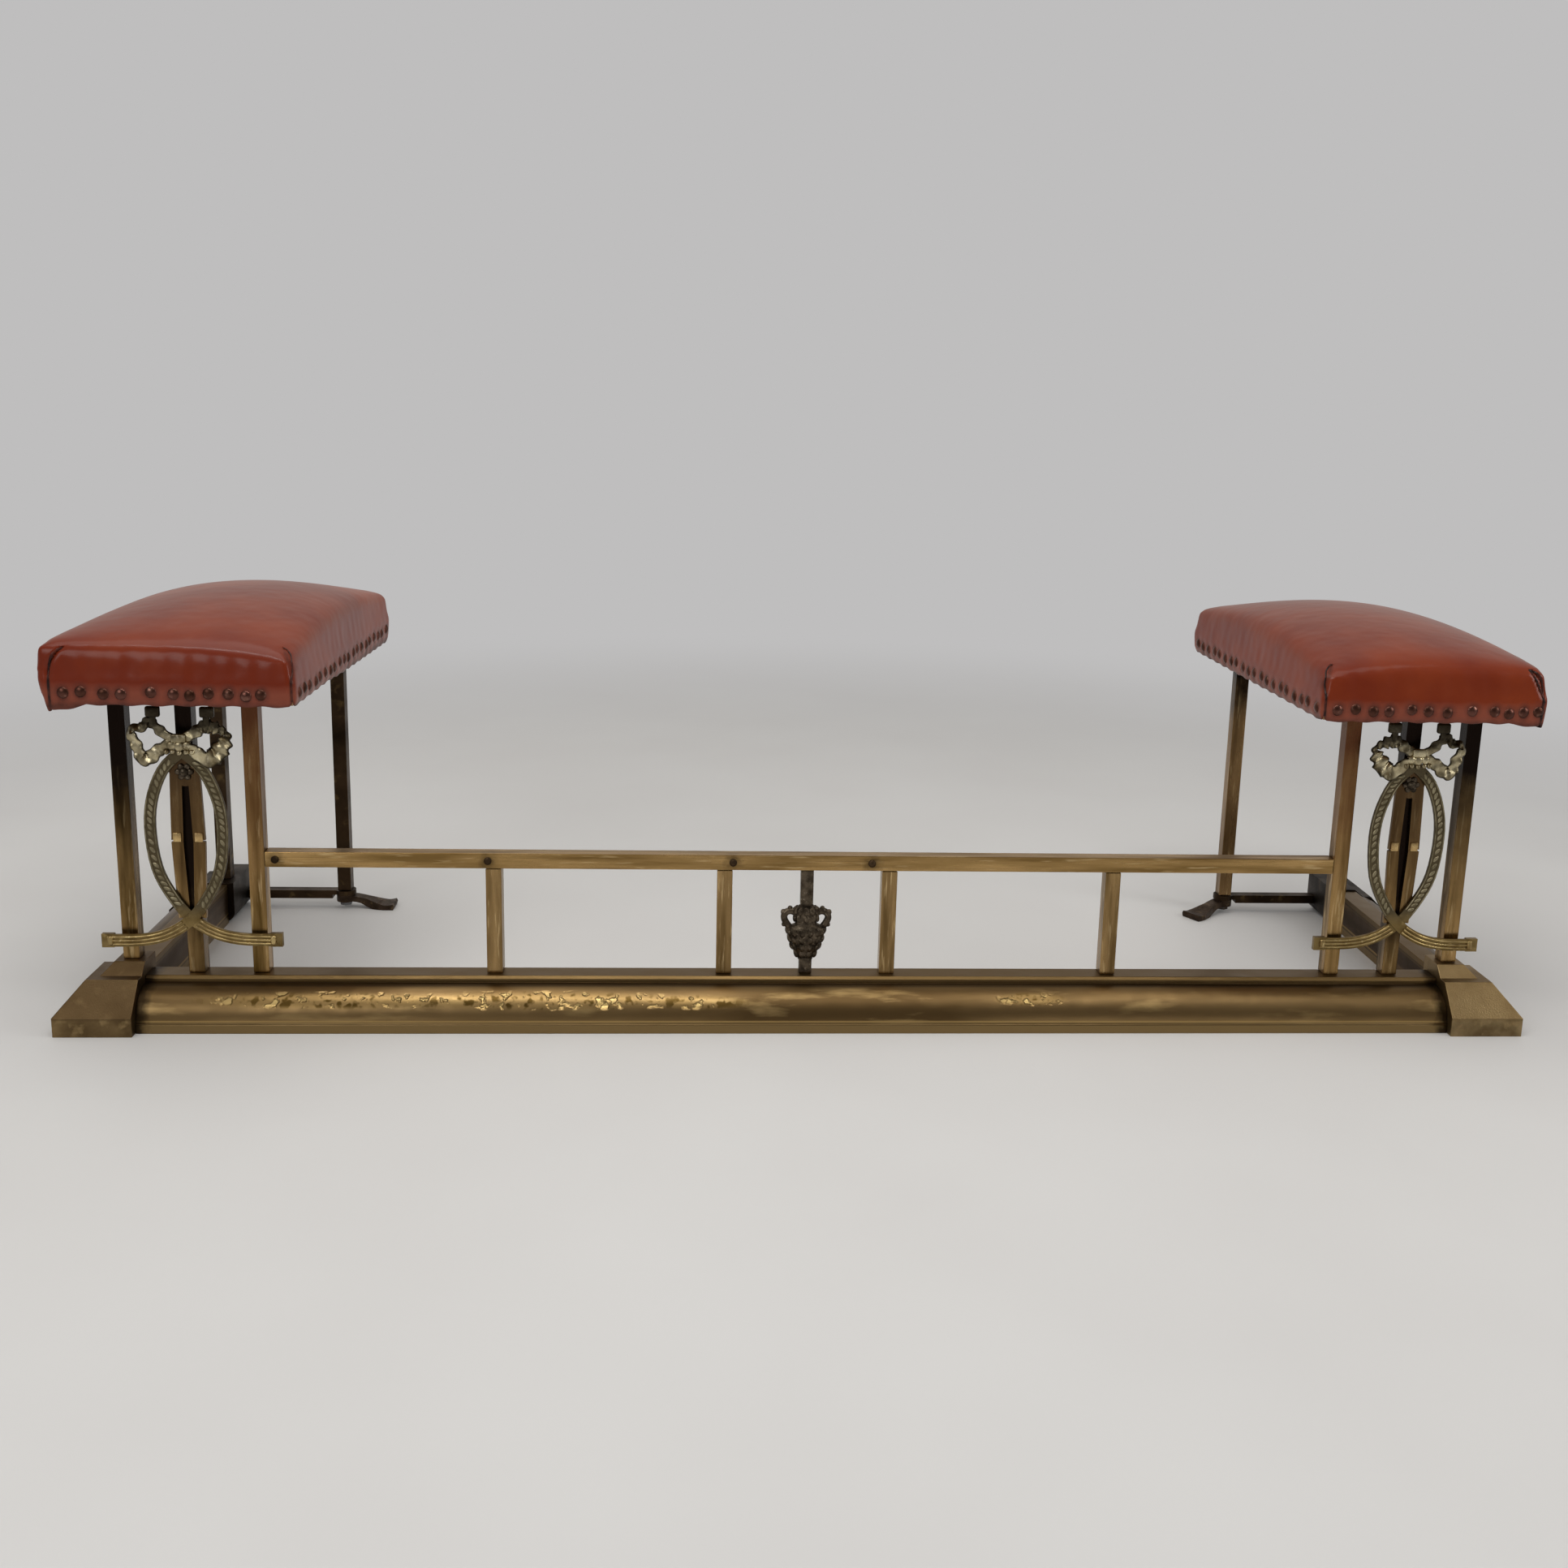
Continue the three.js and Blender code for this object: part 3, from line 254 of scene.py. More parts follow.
def knocked(tree, place, tone, spots, drifts):
    """The tone and the height of sheet that waves all over and is knocked inside its drifts.

    The waves are 35 mm long, and the knocks go in up to 1.4 times as deep. Each drift is painted
    lighter as a highlight, and the spots give it painted glints on its knocks and painted shade in
    its pits."""
    wave = add_node(tree, "TexNoise", {"Vector": place, "Scale": 1 / (35 * MM), "Detail": 1.5})
    knock_glint = add_node(tree, "MapRange", {"Value": spots, "From Min": 0.56, "From Max": 0.66})
    pit_shade = add_node(tree, "MapRange", {"Value": spots, "From Min": 0.44, "From Max": 0.36})
    for middle, reach in drifts:
        scale = Vector([1 / length for length in reach])
        shifted = add_node(tree, "Mapping",
                           {"Vector": place, "Location": -middle * scale, "Scale": scale})
        away = add_node(tree, "VectorMath", {0: shifted}, "Value", operation="LENGTH")
        near = add_node(tree, "MapRange", {"Value": away, "From Min": 1.0, "From Max": 0.55})
        dent_glint, pit_shade_share = [add_node(tree, "Math", {0: near, 1: spot}, operation="MULTIPLY")
                     for spot in (knock_glint, pit_shade)]
        wave = add_node(tree, "Math", {0: dent_glint, 1: -1.4, 2: wave}, operation="MULTIPLY_ADD")
        # Each drift's painted highlight, its knocks' painted glints and its pits' painted shade.
        for share, most, tint in ((near, 0.3, "#ab8d55"), (dent_glint, 0.5, "#dfc382"),
                                  (pit_shade_share, 1, "#574320")):
            tone = tinted(tree, tone, share, 0, 1, tint, most)
    return tone, wave


def pressed_kerb_brass(name, tones, low, high, drawn, drifts=()):
    """Pressed brass sheet, browned on the step, with lines of painted shade and of painted
    highlight where it turns.

    It is knocked inside its drifts, each a middle and how far it reaches, where it has a painted
    highlight, painted glints on its knocks and painted shade in its pits. It is stained dark where
    its ends run into the corner blocks."""
    material, tree, shader, place, tone = worn_metal(
        name, *tones, 60 * MM, (0.32, 0.48), 0.12 * MM, drawn)
    tall = high.z - low.z
    height = add_node(tree, "SeparateXYZ", {0: place}, 2)
    tone = tinted(tree, tone, height, tall * 0.8, tall * 0.87, "#6d5838")
    tone = tinted(tree, tone, height, tall * 0.3, tall * 0.18, "#86704b")
    # Painted shade at the fascia's top and under the step, and a painted highlight where the swell
    # starts.
    for level, half, tint in ((10.3 * MM, 1 * MM, "#3a2c1a"), (13.2 * MM, 1.3 * MM, "#b3955f"),
                              (tall - 7 * MM, 1.3 * MM, "#3a2c1a")):
        away = add_node(tree, "Math", {0: height, 1: level}, operation="SUBTRACT")
        away = add_node(tree, "Math", {0: away}, operation="ABSOLUTE")
        tone = tinted(tree, tone, away, half, half / 3, tint, 0.7)
    # Spots of about 12 mm fray the stained ends and make the knocks with their painted glints and
    # their pits' painted shade.
    spots = add_node(tree, "TexNoise", {"Vector": place, "Scale": 1 / (12 * MM), "Detail": 2.0})
    out = add_node(tree, "SeparateXYZ", {0: place}, 0)
    out = add_node(tree, "Math", {0: out}, operation="ABSOLUTE")
    out = add_node(tree, "Math", {0: spots, 1: 14 * MM, 2: out}, operation="MULTIPLY_ADD")
    tone = tinted(tree, tone, out, high.x - 8 * MM, high.x + 1 * MM, "#2c2216", 0.9)
    tone, wave = knocked(tree, place, tone, spots, drifts)
    relief = add_node(tree, "Bump", {"Height": wave, "Distance": 1.1 * MM, "Strength": 1.0})
    set_inputs(shader, {"Base Color": tone, "Normal": relief})
    return material


def bow_brass(name, black):
    """The bow's cast brass: pale faces, rims painted dark as shade, and smoked black above this
    height.
    """
    material, tree, shader, place, tone = worn_metal(
        name, "#c9bd9b", "#6f6248", "#efe5c6", 16 * MM, (0.26, 0.4), 0.12 * MM)
    height = add_node(tree, "SeparateXYZ", {0: place}, 2)
    spots = add_node(tree, "TexNoise", {"Vector": place, "Scale": 1 / (9 * MM), "Detail": 2.0})
    ragged = add_node(tree, "Math", {0: spots, 1: 20 * MM, 2: height}, operation="MULTIPLY_ADD")
    smoked = add_node(tree, "MapRange",
                      {"Value": ragged, "From Min": black, "From Max": black + 14 * MM})
    # The rims of the ribbon are painted dark, as shade.
    rim = add_node(tree, "Attribute", {}, "Fac", attribute_name="soiling")
    dark = add_node(tree, "Math", {0: rim, 1: smoked}, operation="MAXIMUM")
    tone = tinted(tree, tone, dark, 0, 1, "#1f1913", 0.93)
    set_inputs(shader, {"Base Color": tone})
    return material


def ribbon_brass(name, crossing):
    """Brass strip: a dirty olive ground up in the ornament, and tails polished by dusting."""
    material, tree, shader, place, tone = worn_metal(
        name, "#8f7a50", "#66532f", "#b59c68", 24 * MM)
    height = add_node(tree, "SeparateXYZ", {0: place}, 2)
    tone = tinted(tree, tone, height, crossing, crossing + 16 * MM, "#5c523e")
    set_inputs(shader, {"Base Color": tone})
    return material


def planed_beech(name, wood):
    """Planed beech: close straight grain with darker streaks along the board."""
    material, tree, shader, place = started(name)
    # The streaks are 7 mm apart, coarser than beech's, so that they show.
    along = add_node(tree, "Mapping", {"Vector": place, "Scale": (1, 0.06, 1)})
    streaks = add_node(tree, "TexNoise", {"Vector": along, "Scale": 1 / (7 * MM), "Detail": 6.0})
    tone = tinted(tree, wood, streaks, 0.35, 0.7, "#74522f")
    relief = add_node(tree, "Bump", {"Height": streaks, "Distance": 0.3 * MM, "Strength": 1.0})
    set_inputs(shader, {"Base Color": tone, "Roughness": 0.62, "Normal": relief})
    return material


def dyed_hide(name, colours, hem):
    """Dyed hide, semi-gloss: rubbed on the crown, dusty along its nails, with painted shade in its
    folds and round its nails and dirt along its lower edge.
    """
    material, tree, shader, place = started(name)
    clouds, mottle, creases = [
        add_node(tree, "TexNoise", {"Vector": place, "Scale": 1 / across, "Detail": detail})
        for across, detail in ((110 * MM, 5.0), (12 * MM, 6.0), (24 * MM, 1.2))]
    tone = tinted(tree, colours.hide, clouds, 0.4, 0.72, colours.hide_worn)
    rise = add_node(tree, "SeparateXYZ", {0: place}, 2)
    tone = tinted(tree, tone, rise, hem + 24 * MM, hem + 14 * MM, "#874835", 0.6)
    # The attribute holds the painted shade in the folds and round the nails, and the dirt along the
    # lower edge.
    shade_and_dirt = add_node(tree, "Attribute", {}, "Fac", attribute_name="soiling")
    patchy = add_node(tree, "Math", {0: shade_and_dirt, 1: mottle}, operation="MULTIPLY")
    dirtied_and_shaded = add_node(tree, "MapRange", {"Value": patchy, "From Min": 0.08, "From Max": 0.55})
    tone = add_node(tree, "Mix", {0: dirtied_and_shaded, 6: tone, 7: colours.hide_dark}, 2, data_type="RGBA")
    # The grain's cells are 2.2 mm across, coarser than a hide's, so that they show.
    cells = add_node(tree, "TexVoronoi", {"Vector": place, "Scale": 1 / (2.2 * MM)}, "Distance",
                     feature="DISTANCE_TO_EDGE")
    grain = add_node(tree, "MapRange", {"Value": cells, "From Max": 0.25})
    height = add_node(tree, "Math", {0: creases, 1: 80.0, 2: grain}, operation="MULTIPLY_ADD")
    relief = add_node(tree, "Bump", {"Height": height, "Distance": 0.01 * MM, "Strength": 1.0})
    shine = add_node(tree, "MapRange", {"Value": dirtied_and_shaded, "To Min": 0.36, "To Max": 0.7})
    set_inputs(shader, {"Base Color": tone, "Roughness": shine, "Normal": relief,
                        "Specular IOR Level": 0.13, "Coat Weight": 0.27,
                        "Coat Roughness": 0.17, "Coat Normal": relief})
    return material


def kerb_brasses():
    """The finish of the kerb's front, knocked on its swell, and of its shaded returns."""
    low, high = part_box("front_kerb")
    # Where it is knocked and painted with a highlight: the upper half of the swell, mostly left of
    # the middle.
    swell = low.y + 10 * MM
    drifts = [(Vector((x * MM, swell, z * MM)), Vector((reach, 30, thick)) * MM)
              for x, z, reach, thick in ((-290, 33, 190, 9), (-520, 33, 150, 8),
                                         (-120, 32, 60, 7), (245, 35, 45, 6))]
    # The returns' ends aren't stained: the stain is put a metre past the fender.
    return [
        pressed_kerb_brass("pressed_front_brass", ("#927851", "#604c30", "#bfa26e"), low, high,
                           (0.2, 1, 1), drifts),
        # The returns are painted in darker tones than the front, as shade.
        pressed_kerb_brass("pressed_return_brass", ("#5c4832", "#40301f", "#806645"), low,
                           high + Vector((1, 0, 0)), (1, 0.2, 1)),
    ]


def square_tubes(bright):
    """The finishes of the rail, the balusters, the posts and the straps."""
    screws = [sum(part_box(f"rail_screw_{number}"), Vector()) / 2 for number in range(1, 5)]
    black = "#1c1511"
    return [
        drawn_brass_tube("drawn_brass_rail", "#b3925f", "#85693d", bright, (0.08, 1, 1), screws),
        drawn_brass_tube("drawn_brass_baluster", "#a18459", "#6f5836", bright, (1, 1, 0.08)),
        brass_tube_with_smoke_and_shade("smoked_outer_tube", black, 70 * MM, 290 * MM, bright),
        # The centre post is painted near black going up, as the shade behind the straps.
        brass_tube_with_smoke_and_shade("smoked_centre_tube", black, 0, 150 * MM, bright),
        brass_tube_with_smoke_and_shade("coppery_inner_tube", "#603c27", 130 * MM, 345 * MM, bright),
        brass_tube_with_smoke_and_shade("browned_strap_brass", "#4f3c29", 40 * MM, 300 * MM, bright),
        # The right seat's rear inner post has kept its brass below the smoke.
        brass_tube_with_smoke_and_shade("olive_rear_tube", black, 255 * MM, 335 * MM, bright,
                          ("#987a54", "#6b5335")),
    ]


FINISHES = {}


def finish(name):
    """A finish by its name. All are made at the first call."""
    if not FINISHES:
        colours = bpy.context.scene.fender_colours
        made = [
            *kerb_brasses(),
            *square_tubes(colours.brass_bright),
            # The left block's tones are painted darker, as shade, and the right block's lighter, as
            # light.
            block_brass_with_painted_shade("left_block_brass", "#86704e", "#59462f"),
            block_brass_with_painted_shade("right_block_brass", "#a18c66", "#836d4a"),
            bow_brass("bow_brass", KNOT_LEVEL + 16 * MM),
            ribbon_brass("ribbon_brass", CROSSING),
            planed_beech("planed_beech", colours.wood),
            dyed_hide("dyed_hide", colours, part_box("right_seat_cushion")[0].z),
        ]
        for metal, (clean, dull, bright, *wear) in WORN_METALS.items():
            tones = [getattr(colours, tone, tone) for tone in (clean, dull, bright)]
            made.append(worn_metal(metal, *tones, *wear)[0])
        FINISHES.update({material.name: material for material in made})
    return FINISHES[name]


# ---- Shaping --------------------------------------------------------------------------------


def smooth_line(points, steps):
    """Places and directions along an even curve through the points."""
    points = [Vector(p) for p in points]
    last = len(points) - 1
    found = []
    for step in range(steps + 1):
        reach = step / steps * last
        first = min(int(reach), last - 1)
        t = reach - first
        near = [points[max(0, min(last, first + shift))] for shift in (-1, 0, 1, 2)]
        rise, fall = (near[2] - near[0]) / 2, (near[3] - near[1]) / 2
        cube = 2 * near[1] - 2 * near[2] + rise + fall
        square = 3 * near[2] - 3 * near[1] - 2 * rise - fall
        place = cube * t ** 3 + square * t ** 2 + rise * t + near[1]
        along = 3 * cube * t ** 2 + 2 * square * t + rise
        found.append((place, along.normalized()))
    return found


def station(place, along, face, across, deep):
    """Where a unit section stands: square to the line, this far across and this deep."""
    side = along.cross(face).normalized()
    turn = Matrix((side, side.cross(along), along)).transposed().to_4x4()
    return Matrix.Translation(place) @ turn @ Matrix.Diagonal((across, deep, 1, 1))


def sweep(bm, stations, sides=10, boxy=1.0):
    """Runs a section through its stations and caps its ends.

    The section is round, and the further its boxy power is under 1, the squarer it is."""
    ring = bmesh.ops.create_circle(bm, cap_ends=False, radius=1, segments=sides)["verts"]
    for vert in ring:
        vert.co.x = math.copysign(abs(vert.co.x) ** boxy, vert.co.x)
        vert.co.y = math.copysign(abs(vert.co.y) ** boxy, vert.co.y)
    bmesh.ops.transform(bm, matrix=stations[0], verts=ring)
    first = edges = list({edge for vert in ring for edge in vert.link_edges})
    for before, after in zip(stations, stations[1:]):
        grown = bmesh.ops.extrude_edge_only(bm, edges=edges)["geom"]
        verts = [item for item in grown if isinstance(item, bmesh.types.BMVert)]
        fresh = set(verts)
        edges = [item for item in grown if isinstance(item, bmesh.types.BMEdge)
                 and fresh.issuperset(item.verts)]
        bmesh.ops.transform(bm, matrix=after @ before.inverted(), verts=verts)
    for rim in (first, edges):
        bmesh.ops.edgeloop_fill(bm, edges=rim)


def wire(bm, line, face, half, deep, sides=8, boxy=1.0, aside=0):
    """Runs an even section along a line, or this far aside of it."""
    sweep(bm, [station(place + along.cross(face) * aside, along, face, half, deep)
               for place, along in line], sides, boxy)


def rounded_box(bm, low, high, rounding, segments=2):
    """A box with rounded edges between two corners."""
    spans = Matrix.Translation((low + high) / 2) @ Matrix.Diagonal((*(high - low), 1))
    made = bmesh.ops.create_cube(bm, size=1, matrix=spans)["verts"]
    edges = list({edge for vert in made for edge in vert.link_edges})
    bmesh.ops.bevel(bm, geom=edges, offset=rounding, offset_type="OFFSET", affect="EDGES",
                    segments=segments, profile=0.5, material=-1, clamp_overlap=True)


def facing(along):
    """A turn that points an egg's length along this direction and its depth out of the front."""
    return station(Vector(), along.normalized(), FRONT, 1, 1)


def ball(bm, place, half, turn=None, segments=10, rings=6):
    """An egg with these half sizes, turned about its own middle."""
    matrix = Matrix.Translation(place) @ (turn or Matrix.Identity(4)) @ Matrix.Diagonal((*half, 1))
    bmesh.ops.create_uvsphere(bm, u_segments=segments, v_segments=rings, radius=1, matrix=matrix)


def turned(bm, outline, steps):
    """Spins an outline of (radius, height) once about Z, alone in its bmesh."""
    places = [bm.verts.new((radius, 0, z)) for radius, z in outline]
    edges = [bm.edges.new(pair) for pair in zip(places, places[1:])]
    bmesh.ops.spin(bm, geom=places + edges, axis=UP, cent=(0, 0, 0), angle=math.tau,
                   steps=steps, use_merge=True, use_duplicate=False)
    bmesh.ops.remove_doubles(bm, verts=bm.verts, dist=1e-6)
    bmesh.ops.holes_fill(bm, edges=[edge for edge in bm.edges if edge.is_boundary], sides=0)


def meshed(name, bm):
    """The shape of a bmesh as a mesh. The bmesh is used up."""
    mesh = bpy.data.meshes.new(name)
    bm.to_mesh(mesh)
    bm.free()
    return mesh


def stood(name, data):
    """A new object in the scene."""
    made = bpy.data.objects.new(name, data)
    bpy.context.scene.collection.objects.link(made)
    return made


def dressed(mesh, material, sharp):
    """Gives a mesh its finish, and smooth faces between edges sharper than this many degrees."""
    mesh.materials.clear()
    mesh.materials.append(material)
    mesh.shade_smooth()
    mesh.set_sharp_from_angle(angle=math.radians(sharp))


def softened(piece, width, angle):
    """Rounds the piece's edges that are sharper than this many degrees, as wear does."""
    soften = piece.modifiers.new("worn_edges", "BEVEL")
    soften.width = width
    soften.segments = 2
    soften.limit_method = "ANGLE"
    soften.angle_limit = math.radians(angle)


def finished(name, bm, material, sign=1, sharp=38):
    """Makes a piece of a bmesh, mirrors it for the left side and lets it ride on the frame."""
    if sign < 0:
        bmesh.ops.scale(bm, vec=(-1, 1, 1), verts=bm.verts)
    bmesh.ops.recalc_face_normals(bm, faces=bm.faces)
    made = stood(name, meshed(name, bm))
    dressed(made.data, material, sharp)
    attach(made, "frame")
    return made


# ---- Frame nodes that are shown --------------------------------------------------------------

# The finish of each frame node: the first of these words that is in its name says it.
NODE_FINISHES = {
    "front_outer_post": "smoked_outer_tube",
    "front_centre_post": "smoked_centre_tube",
    "front_inner_post": "coppery_inner_tube",
    "rear_outer_post": "fire_browned_brass",
    "right_rear_inner_post": "olive_rear_tube",
    "rear_inner_post": "fire_browned_brass",
    "rear_block": "smoke_black_brass",
    "rear_bar": "fire_browned_brass",
    "rear_foot": "browned_casting",
    "left_corner_block": "left_block_brass",
    "right_corner_block": "right_block_brass",
    "return_kerb": "pressed_return_brass",
    "front_kerb": "pressed_front_brass",
    "mid_rail": "drawn_brass_rail",
    "baluster": "drawn_brass_baluster",
    "strap_pair": "browned_strap_brass",
    "front_band": "ribbon_brass",
    "rear_band": "ribbon_brass",
    "bow": "bow_brass",
    "urn": "brown_bronze",
    "boss": "brown_bronze",
    "screw": "fire_browned_brass",
    "rod": "rusted_steel",
    "nut": "rusted_steel",
    "clamp_bar": "rusted_steel",
    "board": "planed_beech",
    "cushion": "dyed_hide",
}


class FENDER_OT_frame_finishes(bpy.types.Operator):
    """Gives the frame's own nodes their finishes and softens their worn edges"""

    bl_idname = "fender.frame_finishes"
    bl_label = "Frame finishes"

    def execute(self, context):
        for name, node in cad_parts.items():
            kind = next(NODE_FINISHES[word] for word in NODE_FINISHES if word in name)
            for slot in node.material_slots:
                slot.material = finish(kind)
            weld = node.modifiers.new("weld", "WELD")
            weld.merge_threshold = 0.01 * MM
            softened(node, context.scene.fender_sizes.edge_round, 32)
        return {"FINISHED"}


# ---- Seats ----------------------------------------------------------------------------------


def on_seat(place, low, high, sign):
    """Where a place is on a seat.

    Gives its shares of the way from the middle to the long sides and to the ends, its height
    over the lower edge, if it is on the outer half, and how far in it is from a long side."""
    middle, half = (low + high) / 2, (high - low) / 2
    across, along = abs(place.x - middle.x) / half.x, abs(place.y - middle.y) / half.y
    return across, along, place.z - low.z, (place.x - middle.x) * sign > 0, half.x * (1 - across)


def stuffed_form(low, high, board_top, slack, sign, lift, bulge):
    """The leather before it is blown up: a crowned block whose sides draw in above the board.

    Below the top of the board it is full size, because the board holds it there. The outer
    front corner is stuffed higher than the inner one and bulges outwards, and the back corners
    are stuffed full."""
    bm = bmesh.new()
    bmesh.ops.create_cube(bm, size=2)
    bmesh.ops.subdivide_edges(bm, edges=bm.edges, cuts=20, use_grid_fill=True)
    middle, half = (low + high) / 2, (high - low) / 2
    # How high it stands at a corner, and what its long sides, its ends and its middle add.
    edge, side_arch, end_arch, crown = 56 * MM, 16 * MM, 5 * MM, 19 * MM
    # How far the inner front corner sinks, the back ones rise and spread, and a side draws in.
    inner_sink, back_lift, back_spread, drawn_in = 3 * MM, 6 * MM, 4.5 * MM, 2.5 * MM
    for vert in bm.verts:
        u, v, rise = vert.co.x, vert.co.y, (vert.co.z + 1) / 2
        outer, inner = max(0, u * sign), max(0, -u * sign)
        back = u * u * max(0, v) ** 3
        top = edge + side_arch * (1 - v * v) + end_arch * (1 - u * u)
        top += crown * (1 - u * u) ** 0.7 * (1 - v * v) ** 0.5 - slack
        top += max(0, -v) ** 2 * (lift * outer ** 2 - inner_sink * inner ** 2)
        top += back_lift * back
        above_board = low.z + rise * top - board_top
        inward = slack * max(0, min(1, above_board / (12 * MM)))
        pull_u = drawn_in * (1 - v ** 4) * rise ** 2 + inward
        pull_v = drawn_in * (1 - u ** 4) * rise ** 2 + inward
        outwards = bulge * outer ** 2 * max(0, 0.5 - 0.5 * v) ** 3
        climbed = math.sin(math.pi / 2 * min(1, rise * top / (50 * MM)))
        fuller = back_spread * back * climbed
        vert.co = (middle.x + u * (half.x - pull_u + fuller) + sign * outwards * climbed,
                   middle.y + v * (half.y - pull_v), low.z + rise * top)
    return bm


def hold(place, low, high, board_top):
    """How firmly the leather is held here: nailed to the board, then by the padding's edges."""
    if place.z < board_top:
        return 1
    across, along = [min(1, share) for share in on_seat(place, low, high, 1)[:2]]
    return 0.62 + 0.22 * max(across, along) ** 8 + 0.1 * (across * along) ** 6


def blown_up(name, form, low, high, board_top, sizes):
    """The form's leather as the stuffing pushes it out, by a short cloth simulation."""
    blank = stood(name, meshed(name, form))
    remesh = blank.modifiers.new("remesh", "REMESH")
    remesh.mode = "VOXEL"
    remesh.voxel_size = sizes.voxel
    applied(blank)
    scene, frames = bpy.context.scene, 20
    rest = [vert.co.copy() for vert in blank.data.vertices]
    held = blank.vertex_groups.new(name="held")
    for vert in blank.data.vertices:
        held.add([vert.index], hold(vert.co, low, high, board_top), "ADD")
    cloth = blank.modifiers.new("cloth", "CLOTH")
    cloth.settings.use_pressure = True
    cloth.settings.uniform_pressure_force = 4
    cloth.settings.vertex_group_mass = "held"
    cloth.settings.effector_weights.gravity = 0
    cloth.point_cache.frame_start = 1
    cloth.point_cache.frame_end = frames
    for step in range(1, frames + 1):
        scene.frame_set(step)
    applied(blank)
    scene.frame_set(1)
    for vert, before in zip(blank.data.vertices, rest):
        moved = vert.co - before
        if moved.length > sizes.swell:
            vert.co = before + moved.normalized() * sizes.swell
    return blank


def applied(piece):
    """Bakes what the piece's modifiers make of it into its mesh."""
    graph = bpy.context.evaluated_depsgraph_get()
    mesh = bpy.data.meshes.new_from_object(piece.evaluated_get(graph))
    old = piece.data
    piece.modifiers.clear()
    piece.vertex_groups.clear()
    piece.data = mesh
    bpy.data.meshes.remove(old)


def relaxed(leather, nailed_top):
    """Smooths the leather above where it is nailed, and halves its mesh size."""
    loose = leather.vertex_groups.new(name="loose")
    for vert in leather.data.vertices:
        share = (vert.co.z - nailed_top) / (14 * MM)
        loose.add([vert.index], max(0, min(1, share)), "ADD")
    relax = leather.modifiers.new("relax", "SMOOTH")
    relax.factor = 0.5
    relax.iterations = 36
    relax.vertex_group = "loose"
    smooth = leather.modifiers.new("smooth", "SUBSURF")
    smooth.levels = smooth.render_levels = 1
    applied(leather)


def hollowed(leather, low, high):
    """Cuts the room between two corners out of the leather, with a small gap all round."""
    bm = bmesh.new()
    gap = Vector((0.3 * MM,) * 3)
    rounded_box(bm, low - gap, high + gap, 0.2 * MM, 1)
    room = stood("room", meshed("room", bm))
    hollow = leather.modifiers.new("hollow", "BOOLEAN")
    hollow.object = room
    hollow.operation = "DIFFERENCE"
    hollow.solver = "EXACT"
    applied(leather)
    bpy.data.objects.remove(room)


def nail_places(low, high, side, sizes):
    """Where the nails are driven: (place on the outline, direction out of the seat)."""
    found = []
    level = low.z + sizes.nail_rise
    for index, share in enumerate(FRONT_NAILS[side]):
        x = low.x + share * (high.x - low.x)
        z = level + 1.4 * MM * math.sin(1.9 * index)
        found.append((Vector((x, low.y, z)), FRONT))
        # The back is out of sight in the photograph: it is nailed like the front.
        found.append((Vector((low.x + high.x - x, high.y, z)), -FRONT))
    for face, out in ((low.x, -1), (high.x, 1)):
        for index in range(sizes.nails_along):
            share = (index + 0.5) / sizes.nails_along
            # Driven by eye: the spacing wanders by a few millimetres.
            wander = 2.5 * MM * math.sin(2.3 * index + out)
            y = low.y + 8 * MM + share * (high.y - low.y - 16 * MM) + wander
            z = level + 1.2 * MM * math.sin(1.7 * index)
            found.append((Vector((face, y, z)), Vector((out, 0, 0))))
    return found


def nearness(value, middle, reach):
    """How near a value is to the middle of a soft mark, from 0 to 1."""
    return math.exp(-((value - middle) / reach) ** 2)


def crease(from_corner, rise, tucked):
    """How near a place on an end is to a corner fold, from 0 to 1.

    The fold climbs beside the corner and curls in at the top. A tucked corner has a second,
    slanting fold."""
    fold_top, fold_reach = 58 * MM, 1.9 * MM
    if rise > fold_top:
        return 0
    line = 4 * MM + 9 * MM * max(0, (rise - 34 * MM) / (20 * MM)) ** 2
    share = nearness(from_corner, line, fold_reach)
    if tucked and rise > 22 * MM:
        tuck = 2 * MM + 15 * MM * (rise - 22 * MM) / (34 * MM)
        share = max(share, 0.7 * nearness(from_corner, tuck, fold_reach))
    return share


# The nails draw the leather in from this share of the way out to a side or an end, and the
# corner folds are in the ends, past this share of the way.
NAILED, FOLDED = 0.85, 0.88


def drawn_in_by(place, nails, across, along, rise):
    """How far the leather is drawn in here, at its nails and in the gathers above them.

    The gathers die out below the crown. The long sides are pulled less than the ends."""
    away = min((place - nail).length for nail, _ in nails)
    travel, at_nail, in_gather = place.x, 1.6 * MM, 0.25 * MM
    if across > along:
        travel, at_nail, in_gather = place.y, 1 * MM, 0.1 * MM
    fade = nearness(rise, 38 * MM, 18 * MM) * min(1, (max(across, along) - NAILED) / 0.1)
    wander = math.cos(travel / (21 * MM) * math.tau) + 0.6 * math.sin(travel / (5.3 * MM))
    return at_nail * nearness(away, 0, 7.5 * MM) + in_gather * fade * wander


def hangs_by(place, low, high, side, sign):
    """How far the leather's lower edge hangs here.

    It wanders everywhere, and hangs further as a flap at the outer front corner and along the
    back two thirds of the inner side."""
    across, along, rise, outer, from_corner = on_seat(place, low, high, sign)
    drop = 0.7 * MM * (1 + math.sin((place.x + place.y) / (29 * MM) * math.tau))
    if outer and place.y < (low.y + high.y) / 2:
        reach = max(0, 1 - from_corner / (38 * MM)) ** 0.7
        drop += FLAP_DROP[side] * reach * max(0, (along - 0.8) / 0.2)
    if not outer:
        reach = max(0, (place.y - low.y) / (high.y - low.y) - 0.35) / 0.65
        drop += INNER_DROP[side] * reach ** 0.5 * max(0, (across - 0.8) / 0.2)
    return drop * nearness(rise, 0, 11 * MM)


